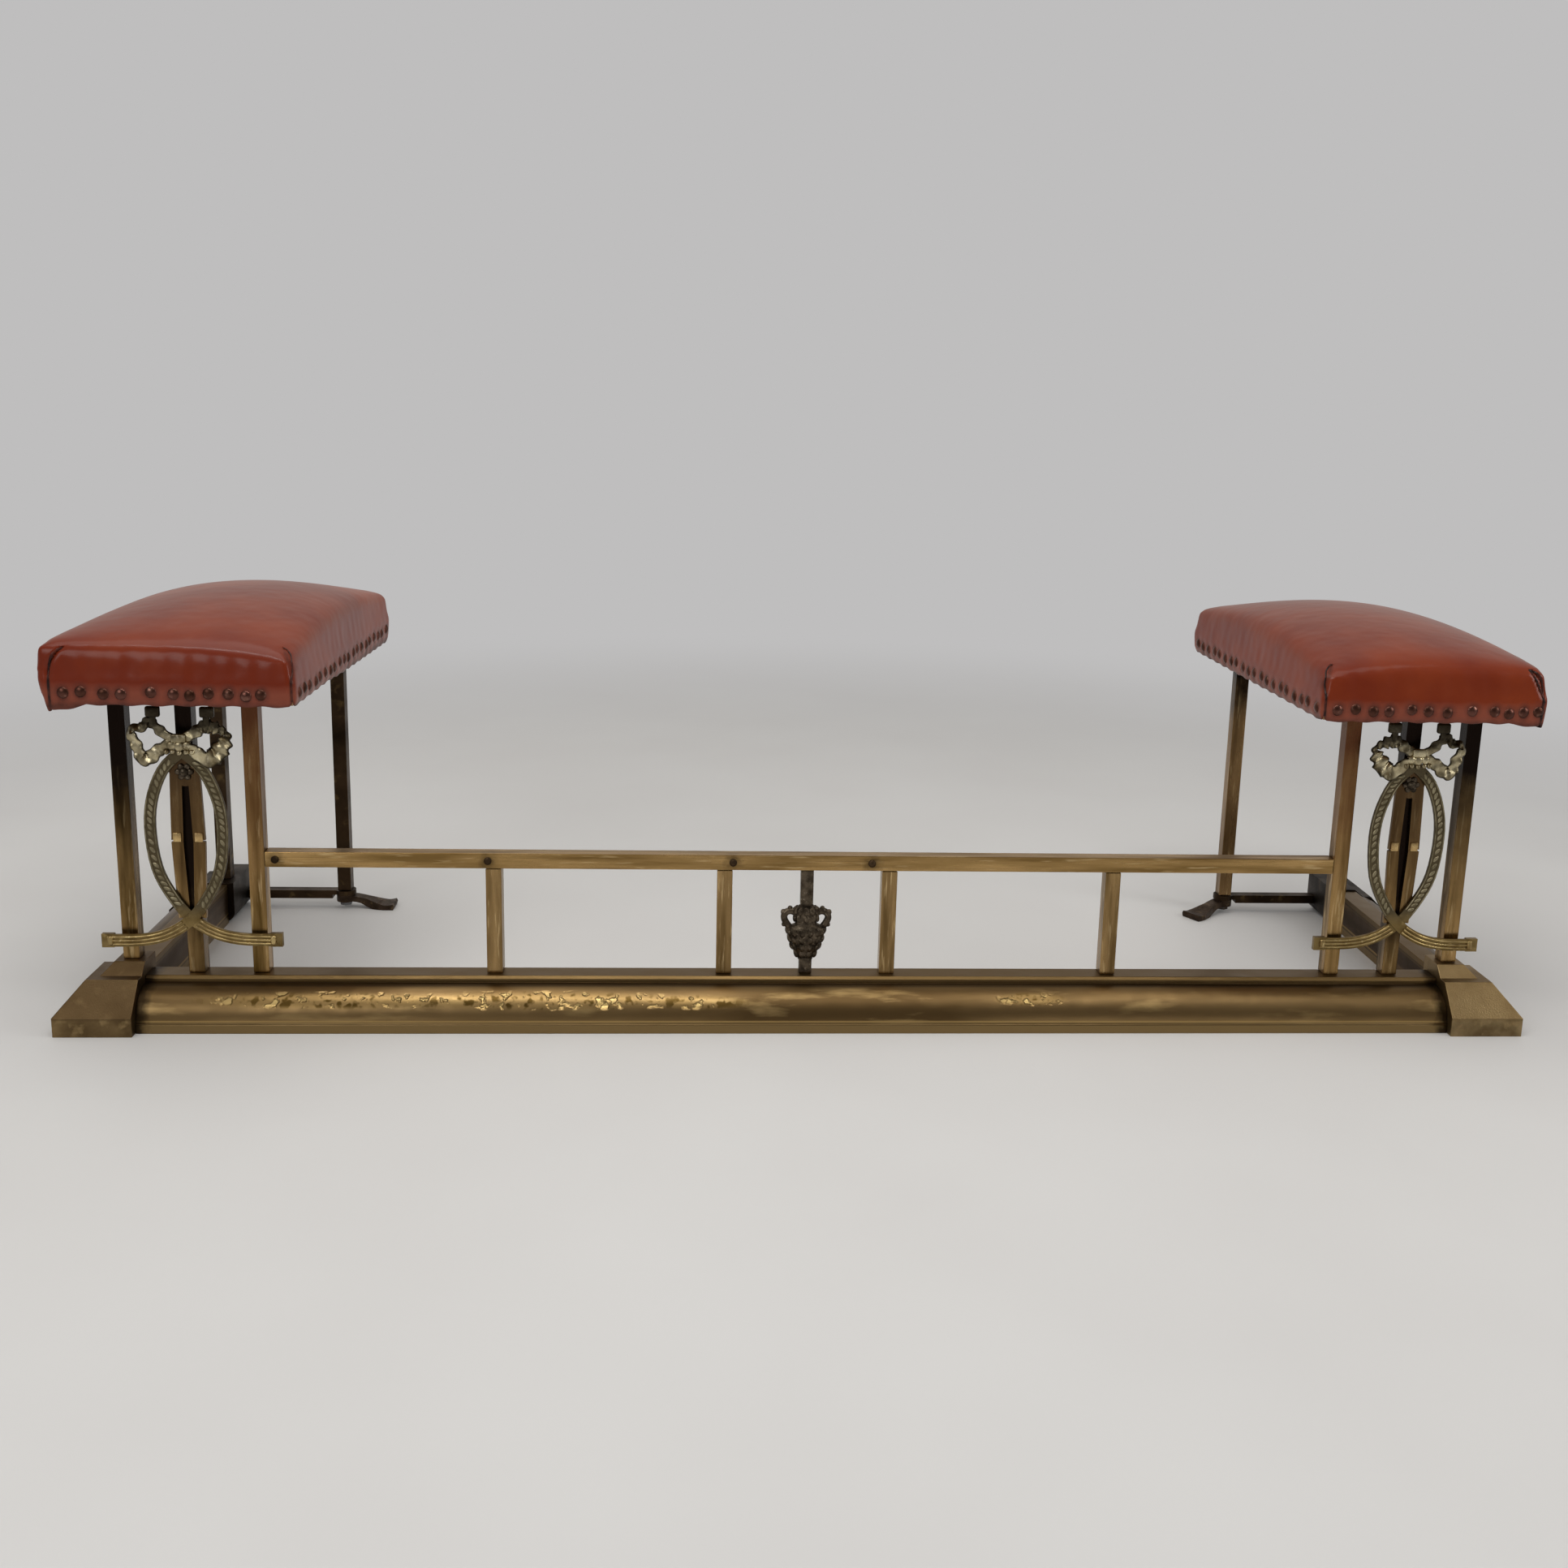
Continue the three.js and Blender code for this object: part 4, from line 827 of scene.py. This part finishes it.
def fitted(leather, low, high, nails, side, sign):
    """Pulls the leather in at its nails and corner folds, and lets its lower edge hang."""
    middle = (low + high) / 2
    for vert in leather.data.vertices:
        place = vert.co.copy()
        across, along, rise, outer, from_corner = on_seat(place, low, high, sign)
        if max(across, along) > NAILED:
            out = Vector((place.x - middle.x, place.y - middle.y, 0)).normalized()
            vert.co -= out * drawn_in_by(place, nails, across, along, rise)
        if along > FOLDED:
            # Over the board the leather is thin, so the fold can't be deep there.
            deep = (1 + 2 * max(0, min(1, (rise - 27 * MM) / (8 * MM)))) * MM
            depth = deep * crease(from_corner, rise, outer and sign > 0)
            vert.co.y -= math.copysign(depth, place.y - middle.y)
        vert.co.z -= hangs_by(place, low, high, side, sign)


def dirtied_and_shaded(leather, low, high, nails, sign):
    """Stores how dark each place of the leather is painted, for its material: painted shade in its
    corner folds and round its nails, and dirt along its lower edge.
    """
    store = leather.data.attributes.new("soiling", "FLOAT", "POINT")
    for vert, value in zip(leather.data.vertices, store.data):
        across, along, rise, outer, from_corner = on_seat(vert.co, low, high, sign)
        value.value = 0
        if max(across, along) > 0.8:
            away = min((vert.co - nail).length for nail, _ in nails)
            fold = crease(from_corner, rise, outer and sign > 0) if along > FOLDED else 0
            edge, ring = nearness(rise, -2 * MM, 5 * MM), nearness(away, 0, 8.5 * MM)
            # The fold and the ring round each nail are painted shade, and the lower edge is dirt.
            value.value = min(1, 0.6 * fold + 0.7 * edge + 0.85 * ring)


class FENDER_OT_leather(bpy.types.Operator):
    """Stuffs both seats, fits their leather over the boards and hollows it for them"""

    bl_idname = "fender.leather"
    bl_label = "Leather seats"

    def execute(self, context):
        sizes = context.scene.fender_sizes
        for side, sign in SIDES:
            low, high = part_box(f"{side}_seat_cushion")
            board_low, board_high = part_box(f"{side}_seat_board")
            nails = nail_places(low, high, side, sizes)
            form = stuffed_form(low, high, board_high.z, sizes.slack, sign, CORNER_LIFT[side],
                                CORNER_BULGE[side])
            leather = blown_up(f"{side}_leather", form, low, high, board_high.z + 2 * MM, sizes)
            relaxed(leather, board_high.z + 4 * MM)
            fitted(leather, low, high, nails, side, sign)
            under = Vector((board_low.x, board_low.y, low.z - 20 * MM))
            hollowed(leather, under, board_high)
            dirtied_and_shaded(leather, low, high, nails, sign)
            dressed(leather.data, finish("dyed_hide"), 50)
            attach(leather, "frame")
            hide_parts(f"{side}_seat_cushion")
        return {"FINISHED"}


def leather_surface(context, side):
    """A seat's leather, to find places on."""
    leather = bpy.data.objects.get(f"{side}_leather")
    if leather is None:
        raise RuntimeError("the folds and the nails need the leather seats")
    return BVHTree.FromObject(leather, context.evaluated_depsgraph_get())


# A corner's fold and its slanting tuck, as (distance from the corner, rise) in mm. The fold
# curls in at its top and runs down beside the corner. The tuck slants to the corner.
FOLD = [(17, 57), (12, 55), (8, 51), (5.5, 45), (4.4, 38), (4, 28), (4, 14), (4, 0)]
TUCK = [(19, 58), (14, 50), (9, 40), (5, 31), (2.5, 24)]


def fold_line(surface, corner, inward, out, shape):
    """Places down a corner's fold, found on the leather from in front of the corner."""
    found = []
    for (away, rise, _), _ in smooth_line([(*point, 0) for point in shape], 26):
        start = corner + inward * away * MM + UP * rise * MM + out * 60 * MM
        hit, _, _, _ = surface.ray_cast(start, -out, 110 * MM)
        if hit is not None:
            found.append(hit + out * 0.25 * MM)
    return found


class FENDER_OT_folds(bpy.types.Operator):
    """Lays the leather's folded edges at the corners of both seats, painted dark as the shade of
    the folds
    """

    bl_idname = "fender.folds"
    bl_label = "Corner folds"

    def execute(self, context):
        for side, sign in SIDES:
            surface = leather_surface(context, side)
            low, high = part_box(f"{side}_seat_cushion")
            bm = bmesh.new()
            shade_and_dirt = bm.verts.layers.float.new("soiling")
            for x, inward in ((low.x, 1), (high.x, -1)):
                for y, out in ((low.y, FRONT), (high.y, -FRONT)):
                    # Only the right seat's outer corners are tucked.
                    tucked = side == "right" and inward == -sign
                    for shape in (FOLD, TUCK) if tucked else (FOLD,):
                        line = fold_line(surface, Vector((x, y, low.z)),
                                         Vector((inward, 0, 0)), out, shape)
                        wire(bm, smooth_line(line, 40), out, 1.25 * MM, 0.8 * MM)
            # Each fold line is painted fully dark, as shade.
            for vert in bm.verts:
                vert[shade_and_dirt] = 1
            finished(f"{side}_folds", bm, finish("dyed_hide"), 1, 60)
        return {"FINISHED"}


class FENDER_OT_nails(bpy.types.Operator):
    """Drives the domed upholstery nails round both seats"""

    bl_idname = "fender.nails"
    bl_label = "Upholstery nails"

    def execute(self, context):
        sizes = context.scene.fender_sizes
        radius = sizes.nail_head / 2
        outline = [(0, 0.42), (0.42, 0.36), (0.76, 0.2), (0.93, 0.06), (0.96, -0.1), (0, -0.1)]
        bm = bmesh.new()
        turned(bm, [(r * radius, z * radius) for r, z in outline], 10)
        nail = meshed("nail", bm)
        for side, _ in SIDES:
            surface = leather_surface(context, side)
            bm = bmesh.new()
            for place, out in nail_places(*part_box(f"{side}_seat_cushion"), side, sizes):
                hit, normal, _, _ = surface.ray_cast(place + out * 60 * MM, -out)
                if hit is None:
                    raise RuntimeError(f"a nail misses the leather at {place}")
                normal = (normal + 2 * out).normalized()
                seat = Matrix.Translation(hit) @ normal.to_track_quat("Z", "Y").to_matrix().to_4x4()
                before = len(bm.verts)
                bm.from_mesh(nail)
                bm.verts.ensure_lookup_table()
                bmesh.ops.transform(bm, matrix=seat, verts=bm.verts[before:])
            finished(f"{side}_nails", bm, finish("bronzed_nail_brass"), 1, 60)
        bpy.data.meshes.remove(nail)
        return {"FINISHED"}


# ---- Kerb -----------------------------------------------------------------------------------


def kerb_outline(height):
    """The kerb's section as (distance back from its face, height), open underneath."""
    wall, fascia, fillet, run, step_up, bead, width = (
        value * MM for value in (2.5, 9.5, 1.6, 34, 4, 3, 65))
    shoulder = height - step_up - bead
    steps = 28

    def arc(inset):
        start = fascia + fillet
        for index in range(steps + 1):
            angle = index / steps * math.pi / 2
            yield (fillet + run - (run - inset) * math.cos(angle),
                   start + (shoulder - start - inset) * math.sin(angle))

    step = fillet + run + fillet
    outside = [(0, 0), (0, fascia), *arc(0), (step, shoulder), (step, shoulder + step_up),
               (step + bead, height), (width, height), (width, 0)]
    inside = [(wall, 0), (wall, fascia), *arc(wall), (step + wall, shoulder - wall),
              (step + wall, shoulder + step_up - wall),
              (step + bead + wall / 2, height - wall), (width - wall, height - wall),
              (width - wall, 0)]
    return outside + inside[::-1]


class FENDER_OT_kerb(bpy.types.Operator):
    """Presses the smooth kerb moulding along the front and both returns"""

    bl_idname = "fender.kerb"
    bl_label = "Kerb moulding"

    def execute(self, context):
        low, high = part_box("front_kerb")
        outline = kerb_outline(high.z - low.z)
        # Each run: its name and brass, where its face starts, the way back, and its length.
        runs = [("front_kerb", "pressed_front_brass", low, Vector((0, 1, 0)),
                 Vector((high.x - low.x, 0, 0)))]
        for side, sign in SIDES:
            near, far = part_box(f"{side}_return_kerb")
            start = Vector((far.x if sign > 0 else near.x, near.y, near.z))
            runs.append((f"{side}_return_kerb", "pressed_return_brass", start,
                         Vector((-sign, 0, 0)), Vector((0, far.y - near.y, 0))))
        for name, brass, start, back, length in runs:
            bm = bmesh.new()
            face = bm.faces.new([bm.verts.new(start + back * inset + UP * z)
                                 for inset, z in outline])
            grown = bmesh.ops.extrude_face_region(bm, geom=[face], use_keep_orig=True)["geom"]
            moved = [item for item in grown if isinstance(item, bmesh.types.BMVert)]
            bmesh.ops.translate(bm, verts=moved, vec=length)
            piece = finished(f"{name}_pressing", bm, finish(brass), 1, 30)
            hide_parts(name)
            softened(piece, 0.5 * MM, 30)
        return {"FINISHED"}


# ---- Ornament -------------------------------------------------------------------------------


def middle_across(name):
    """The middle of a frame node from left to right."""
    low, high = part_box(name)
    return (low.x + high.x) / 2


def band_line(middle, direction, face):
    """The middle line of a band that leaves the bow towards this direction."""
    across = [(0.02, BAND_TOP), (0.55, BAND_TOP - 20 * MM), (0.9, BAND_TOP - 52 * MM),
              (1, BELLY_LEVEL), (0.87, BELLY_LEVEL - 42 * MM), (0.5, CROSSING + 25 * MM),
              (0, CROSSING)]
    tail = [(0.27, CROSSING - 16 * MM), (0.58, TAIL_LEVEL + MM), (1, TAIL_LEVEL)]
    line = [(middle + direction * share * BAND_BELLY, face, z) for share, z in across]
    line += [(middle - direction * share * TAIL_REACH, face, z) for share, z in tail]
    return smooth_line(line, 90)


class FENDER_OT_bands(bpy.types.Operator):
    """Dresses the bands: edge wires and husks on the oval, and a ridged tail with a rolled end"""

    bl_idname = "fender.bands"
    bl_label = "Band ornament"

    def execute(self, context):
        husk = context.scene.fender_sizes.husk
        middle = middle_across("right_front_centre_post")
        for side, sign in SIDES:
            for name, direction in (("rear_band", 1), ("front_band", -1)):
                line = band_line(middle, direction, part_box(f"{side}_{name}")[0].y)
                oval = [item for item in line if 128 * MM < item[0].z < 290 * MM]
                bm = bmesh.new()
                for edge in (-1, 1):
                    wire(bm, oval, FRONT, 0.7 * MM, 0.9 * MM, aside=edge * 4.9 * MM)
                travel = 0
                for (place, along), (after, _) in zip(oval, oval[1:]):
                    travel += (after - place).length
                    if travel < husk * 0.55:
                        continue
                    travel = 0
                    lean = along.cross(FRONT) * 0.7 + along
                    ball(bm, place, (1.9 * MM, 1.1 * MM, husk / 2), facing(lean), 8, 6)
                finished(f"{side}_{name}_relief", bm,
                         finish("dusty_relief_brass"), sign, 50)
                tail = [item for item in line[len(line) // 2:] if item[0].z < CROSSING - 4 * MM]
                bm = bmesh.new()
                for aside in (-4, 0, 4):
                    wire(bm, tail, FRONT, 1.3 * MM, 1.4 * MM, aside=aside * MM)
                end = tail[-1][0] + Vector((direction * 3 * MM, 0, 0))
                rolled = Vector((3 * MM, 2.6 * MM, 5.6 * MM))
                rounded_box(bm, end - rolled, end + rolled, 2.4 * MM, 4)
                finished(f"{side}_{name}_tail", bm,
                         finish("rubbed_tail_brass"), sign, 50)
        return {"FINISHED"}


# Each loop of the bow as (place across and height above the knot in mm, half width of the
# ribbon in mm, turn of its face out of the front in degrees). The outer loop opens like a
# diamond. The inner one shows its broad lower face.
OUTER_LOOP = [(3, 2, 5, 0), (12, 0, 6, 10), (22, -6, 7, 0), (31, -14, 7.6, -10),
              (38, -15, 6.6, -30), (42, -5, 6, -10), (46, 6, 6.2, 10), (50, 13, 5.6, 40),
              (45, 18, 5.2, 45), (37, 19, 5.4, 20), (30, 25, 5.6, 0), (24, 21, 5.6, -10),
              (15, 12, 5.4, 0), (4, 5, 5, 0)]
INNER_LOOP = [(-3, 1, 5, 0), (-13, -5, 7, -10), (-26, -14, 9, -5), (-36, -11, 10, 10),
              (-44, -1, 9.5, 12), (-49, 8, 7, 35), (-49, 14, 5.4, 50), (-42, 17, 6.4, 25),
              (-34, 20, 7.4, 10), (-26, 20, 7, -10), (-17, 14, 6.4, -10), (-4, 6, 5, 0)]


def ribbon_loop(bm, rim, knot, loop, sides=14):
    """Runs the crinkled ribbon round one loop, and marks its rims to be painted dark as shade."""
    line = smooth_line([knot + Vector((x, 0, rise)) * MM for x, rise, _, _ in loop], 84)
    shape = smooth_line([(half, turn, 0) for _, _, half, turn in loop], 84)
    stations = []
    for index, ((place, along), ((half, turn, _), _)) in enumerate(zip(line, shape)):
        turn += 17 * math.sin(index * 0.85)
        half *= 1 + 0.1 * math.sin(index * 1.1 + 1)
        face = Matrix.Rotation(math.radians(turn), 3, along) @ FRONT
        stations.append(station(place, along, face, half * MM, 1.6 * MM))
    before = len(bm.verts)
    sweep(bm, stations, sides, 0.45)
    bm.verts.ensure_lookup_table()
    for index, vert in enumerate(bm.verts[before:]):
        across = (stations[index // sides].inverted() @ vert.co).x
        vert[rim] = max(0, min(1, (abs(across) - 0.7) / 0.22))


def scroll(bm, knot, across):
    """The dark scroll above a loop: a stem that ends in a squarish curl."""
    stem = [knot + Vector((across + x, 0, rise)) * MM for x, rise in ((0, 22), (1, 29), (0, 36))]
    wire(bm, smooth_line(stem, 8), FRONT, 3.6 * MM, 2.2 * MM, 10, 0.6)
    curl, reach = knot + Vector((across, -1, 36)) * MM, Vector((7.4, 3, 5.8)) * MM
    rounded_box(bm, curl - reach, curl + reach, 2.2 * MM, 3)


class FENDER_OT_bow(bpy.types.Operator):
    """Casts the ribbon bow: two crinkled loops, a knot and a dark scroll above each loop"""

    bl_idname = "fender.bow"
    bl_label = "Ribbon bow"

    def execute(self, context):
        middle = middle_across("right_front_centre_post")
        for side, sign in SIDES:
            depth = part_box(f"{side}_bow")[1].y - 4 * MM
            knot = Vector((middle, depth, KNOT_LEVEL))
            bm = bmesh.new()
            rim = bm.verts.layers.float.new("soiling")
            for loop, across in ((OUTER_LOOP, 25), (INNER_LOOP, -30)):
                ribbon_loop(bm, rim, knot, loop)
                scroll(bm, knot, across)
            # The knot: a folded block, a lobe at each side and beads along the band's top.
            folded, reach = knot + Vector((0, -1.5, 8)) * MM, Vector((7.5, 2.6, 4.6)) * MM
            rounded_box(bm, folded - reach, folded + reach, 1.8 * MM, 3)
            for across, rise, half in ((-8, 0, 5), (8, 0, 5), (0, -1, 5.5), (-13, -7, 3),
                                       (-7, -7, 3), (0, -8, 3), (7, -7, 3), (13, -7, 3)):
                ball(bm, knot + Vector((across, -1, rise)) * MM,
                     (half * MM, 2.8 * MM, half * MM), None, 14, 8)
            piece = finished(f"{side}_bow_casting", bm, finish("bow_brass"), sign, 50)
            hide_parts(f"{side}_bow")
        return {"FINISHED"}


class FENDER_OT_rosettes(bpy.types.Operator):
    """Makes the six-petalled boss and the folds of each pair of straps, painted bright as their
    highlight
    """

    bl_idname = "fender.rosettes"
    bl_label = "Rosettes and strap folds"

    def execute(self, context):
        middle = middle_across("right_ornament_boss")
        for side, sign in SIDES:
            low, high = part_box(f"{side}_ornament_boss")
            level = (low.z + high.z) / 2
            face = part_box(f"{side}_strap_pair")[0].y
            bm = bmesh.new()
            for petal in range(6):
                angle = petal / 6 * math.tau
                out = Vector((math.cos(angle), 0, math.sin(angle)))
                place = Vector((middle, face - MM, level)) + out * 6 * MM
                ball(bm, place, (3.4 * MM, 1.8 * MM, 3.8 * MM), facing(out), 12, 8)
            ball(bm, Vector((middle, face - 1.6 * MM, level)), (5.2 * MM, 4 * MM, 5.2 * MM),
                 None, 20, 12)
            piece = finished(f"{side}_rosette", bm, finish("brown_bronze"), sign, 60)
            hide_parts(f"{side}_ornament_boss")
            bm = bmesh.new()
            # A plate at the bend of each strap, painted bright as its highlight.
            for start in (-15.5 * MM, 7 * MM):
                corner = Vector((middle + start, face - 1.4 * MM, 200 * MM))
                rounded_box(bm, corner, corner + Vector((8.5, 1.6, 10)) * MM, 0.7 * MM)
            finished(f"{side}_strap_folds", bm, finish("rubbed_fold_brass"), sign)
        return {"FINISHED"}


class FENDER_OT_urn(bpy.types.Operator):
    """Casts the two-handled urn: a tapering body in rows of leaves, a collar and thick handles"""

    bl_idname = "fender.urn"
    bl_label = "Urn"

    def execute(self, context):
        low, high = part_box("urn")
        middle = (low + high) / 2
        tall = high.z - low.z
        outline = [(0, -0.06), (8, -0.06), (9.5, 0.02), (13, 0.12), (16.5, 0.25), (19.5, 0.4),
                   (20.5, 0.52), (19, 0.59), (12.5, 0.64), (12, 0.7), (13.5, 0.8), (12.5, 0.92),
                   (8, 1), (0, 1)]
        bm = bmesh.new()
        turned(bm, [(r * MM, share * tall) for r, share in outline], 48)
        # Rows of leaves: (height as a share, radius in mm, leaves, lean out of upright).
        rows = ((0.5, 20.5, 14, 0.25), (0.35, 18.6, 12, 0.4), (0.2, 15.3, 10, 0.4),
                (0.06, 11.3, 8, 0.3), (0.9, 13, 12, -0.5), (0.76, 12.8, 10, -0.2))
        for row, (share, radius, leaves, lean) in enumerate(rows):
            for leaf in range(leaves):
                angle = (leaf + row % 2 / 2) / leaves * math.tau
                out = Vector((math.cos(angle), math.sin(angle), 0))
                turn = station(Vector(), (UP + out * lean).normalized(), out, 1, 1)
                ball(bm, out * radius * MM + UP * share * tall, (3.5 * MM, 2.6 * MM, 5 * MM),
                     turn, 8, 6)
        # The body is flattened from front to back. The handles are not.
        bmesh.ops.scale(bm, vec=(1, 0.6, 1), verts=bm.verts)
        for direction in (-1, 1):
            handle = [(11, 0.84), (17, 0.88), (22.5, 0.85), (24.6, 0.77), (23, 0.68), (19, 0.58)]
            line = smooth_line([(direction * x * MM, 0, share * tall) for x, share in handle], 24)
            wire(bm, line, FRONT, 3.8 * MM, 3.6 * MM, 10, 0.8)
            for x, share, half in ((25.4, 0.86, 3.2), (18, 0.93, 3), (24.5, 0.62, 2.8)):
                ball(bm, Vector((direction * x * MM, 0, share * tall)), (half * MM,) * 3)
        bmesh.ops.translate(bm, verts=bm.verts, vec=(middle.x, middle.y, low.z))
        piece = finished("urn_casting", bm, finish("brown_bronze"), 1, 50)
        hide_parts("urn")
        return {"FINISHED"}


# ---- Stage ----------------------------------------------------------------------------------

# The photograph's camera in the frame's own axes: place in metres, angles in degrees, and the
# focal length and principal point in pixels of the square photograph.
PHOTO_SIDE = 1932
CAMERA_PLACE = Vector((-0.107918, -1.816719, 0.692734))
CAMERA_YAW, CAMERA_PITCH, CAMERA_ROLL = 4.0418, 11.8286, 1.59454
FOCAL_PIXELS = 1938.511
PRINCIPAL_POINT = (1015.261, 882.733)
SENSOR = 36
BACKDROP = "#bfbebe"


def painted_floor():
    """A painted floor that fades into the backdrop's own tone away from the fender."""
    material, tree, shader, place = started("painted_floor")
    clouds = add_node(tree, "TexNoise", {"Vector": place, "Scale": 1 / 0.3})
    tone = add_node(tree, "Mix", {0: clouds, 6: "#d4d3d1", 7: "#cccac8"}, 2, data_type="RGBA")
    set_inputs(shader, {"Base Color": tone, "Roughness": 0.6})
    away = add_node(tree, "VectorMath", {0: place}, "Value", operation="LENGTH")
    fade = add_node(tree, "MapRange", {"Value": away, "From Min": 1.1, "From Max": 2.6},
                    interpolation_type="SMOOTHSTEP")
    glow = add_node(tree, "Emission", {0: BACKDROP, 1: 1.0})
    both = add_node(tree, "MixShader", {0: fade, 1: shader.outputs[0], 2: glow})
    set_inputs(tree.nodes["Material Output"], {0: both})
    return material


def studio():
    """The world: a plain backdrop to the camera, and soft grey light on everything else."""
    world = bpy.data.worlds.new("studio")
    world.use_nodes = True
    sky = world.node_tree
    sky.nodes.clear()
    seen, mirrored = [add_node(sky, "LightPath", {}, ray)
                      for ray in ("Is Camera Ray", "Is Glossy Ray")]
    toward = add_node(sky, "TexCoord", {}, "Generated")
    depth = add_node(sky, "SeparateXYZ", {0: toward}, 1)
    # What the brass mirrors: a dark room in front and the pale backdrop behind.
    room = tinted(sky, "#7b7874", depth, -0.7, 0.45, "#cfcac4")
    level = add_node(sky, "Mix", {0: mirrored, 6: "#b4b4b4", 7: room}, 2, data_type="RGBA")
    lit = add_node(sky, "Background", {0: level, 1: 0.85})
    shown = add_node(sky, "Background", {0: BACKDROP, 1: 1.0})
    both = add_node(sky, "MixShader", {0: seen, 1: lit, 2: shown})
    add_node(sky, "OutputWorld", {0: both})
    return world


def softbox(name, place, width, depth, power, tint="#ffffff"):
    """An area light that looks at the middle of the fender."""
    lamp = bpy.data.lights.new(name, "AREA")
    lamp.shape = "RECTANGLE"
    lamp.size, lamp.size_y = width, depth
    lamp.energy = power
    lamp.color = linear(tint)
    place = Vector(place)
    stood(name, lamp).matrix_world = Matrix.Translation(place) @ (
        Vector((0, 0, 0.2)) - place).to_track_quat("-Z", "Y").to_matrix().to_4x4()


def photograph_camera():
    """The camera, standing where the photograph was taken."""
    camera = bpy.data.cameras.new("photograph")
    camera.sensor_width = SENSOR
    camera.lens = SENSOR * FOCAL_PIXELS / PHOTO_SIDE
    camera.shift_x = (PHOTO_SIDE / 2 - PRINCIPAL_POINT[0]) / PHOTO_SIDE
    camera.shift_y = (PRINCIPAL_POINT[1] - PHOTO_SIDE / 2) / PHOTO_SIDE
    yaw, pitch, roll = (math.radians(angle)
                        for angle in (CAMERA_YAW, CAMERA_PITCH, CAMERA_ROLL))
    look = Vector((math.sin(yaw) * math.cos(pitch), math.cos(yaw) * math.cos(pitch),
                   -math.sin(pitch)))
    right = look.cross(UP).normalized()
    above = right.cross(look)
    rolled = right * math.cos(roll) + above * math.sin(roll)
    upright = above * math.cos(roll) - right * math.sin(roll)
    made = stood("photograph", camera)
    made.matrix_world = (Matrix.Translation(CAMERA_PLACE)
                         @ Matrix((rolled, upright, -look)).transposed().to_4x4())
    return made


class FENDER_OT_stage(bpy.types.Operator):
    """Lays the pale floor, hangs the softboxes and stands the camera at the photograph's angle"""

    bl_idname = "fender.stage"
    bl_label = "Stage"

    def execute(self, context):
        bm = bmesh.new()
        bmesh.ops.create_grid(bm, x_segments=1, y_segments=1, size=12)
        floor = stood("floor", meshed("floor", bm))
        floor.data.materials.append(painted_floor())
        softbox("overhead", (-0.2, -0.3, 2.5), 3.2, 2.0, 31, "#fffcf7")
        softbox("ceiling_strip", (-0.3, -0.9, 2.3), 2.2, 0.12, 10)
        softbox("front_left", (-2.0, -2.4, 1.7), 1.6, 1.2, 18)
        softbox("right", (2.4, -0.9, 1.3), 0.9, 1.2, 13)
        scene = context.scene
        scene.world = studio()
        scene.camera = photograph_camera()
        scene.view_settings.view_transform = "Standard"
        return {"FINISHED"}


# ---- Add-on ---------------------------------------------------------------------------------

OPERATORS = (
    FENDER_OT_frame_finishes,
    FENDER_OT_leather,
    FENDER_OT_folds,
    FENDER_OT_nails,
    FENDER_OT_kerb,
    FENDER_OT_bands,
    FENDER_OT_bow,
    FENDER_OT_rosettes,
    FENDER_OT_urn,
    FENDER_OT_stage,
)


class FENDER_PT_panel(bpy.types.Panel):
    """Lists the fender's sizes, its colours and the pieces in the order they are made"""

    bl_idname = "FENDER_PT_panel"
    bl_label = "Fire Fender"
    bl_space_type = "VIEW_3D"
    bl_region_type = "UI"
    bl_category = "Fender"

    def draw(self, context):
        layout = self.layout
        for group in (context.scene.fender_sizes, context.scene.fender_colours):
            column = layout.column()
            for name in group.__annotations__:
                column.prop(group, name)
        for operator in OPERATORS:
            layout.operator(operator.bl_idname)


CLASSES = (FenderSizes, FenderColours, *OPERATORS, FENDER_PT_panel)


def register():
    """Adds the classes and the settings that the panel shows."""
    for kind in CLASSES:
        bpy.utils.register_class(kind)
    bpy.types.Scene.fender_sizes = PointerProperty(type=FenderSizes)
    bpy.types.Scene.fender_colours = PointerProperty(type=FenderColours)


def unregister():
    """Takes them away again."""
    del bpy.types.Scene.fender_colours
    del bpy.types.Scene.fender_sizes
    for kind in reversed(CLASSES):
        bpy.utils.unregister_class(kind)


def main():
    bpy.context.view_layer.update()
    register()
    for operator in OPERATORS:
        group, name = operator.bl_idname.split(".")
        getattr(getattr(bpy.ops, group), name)()


if __name__ == "__main__":
    main()
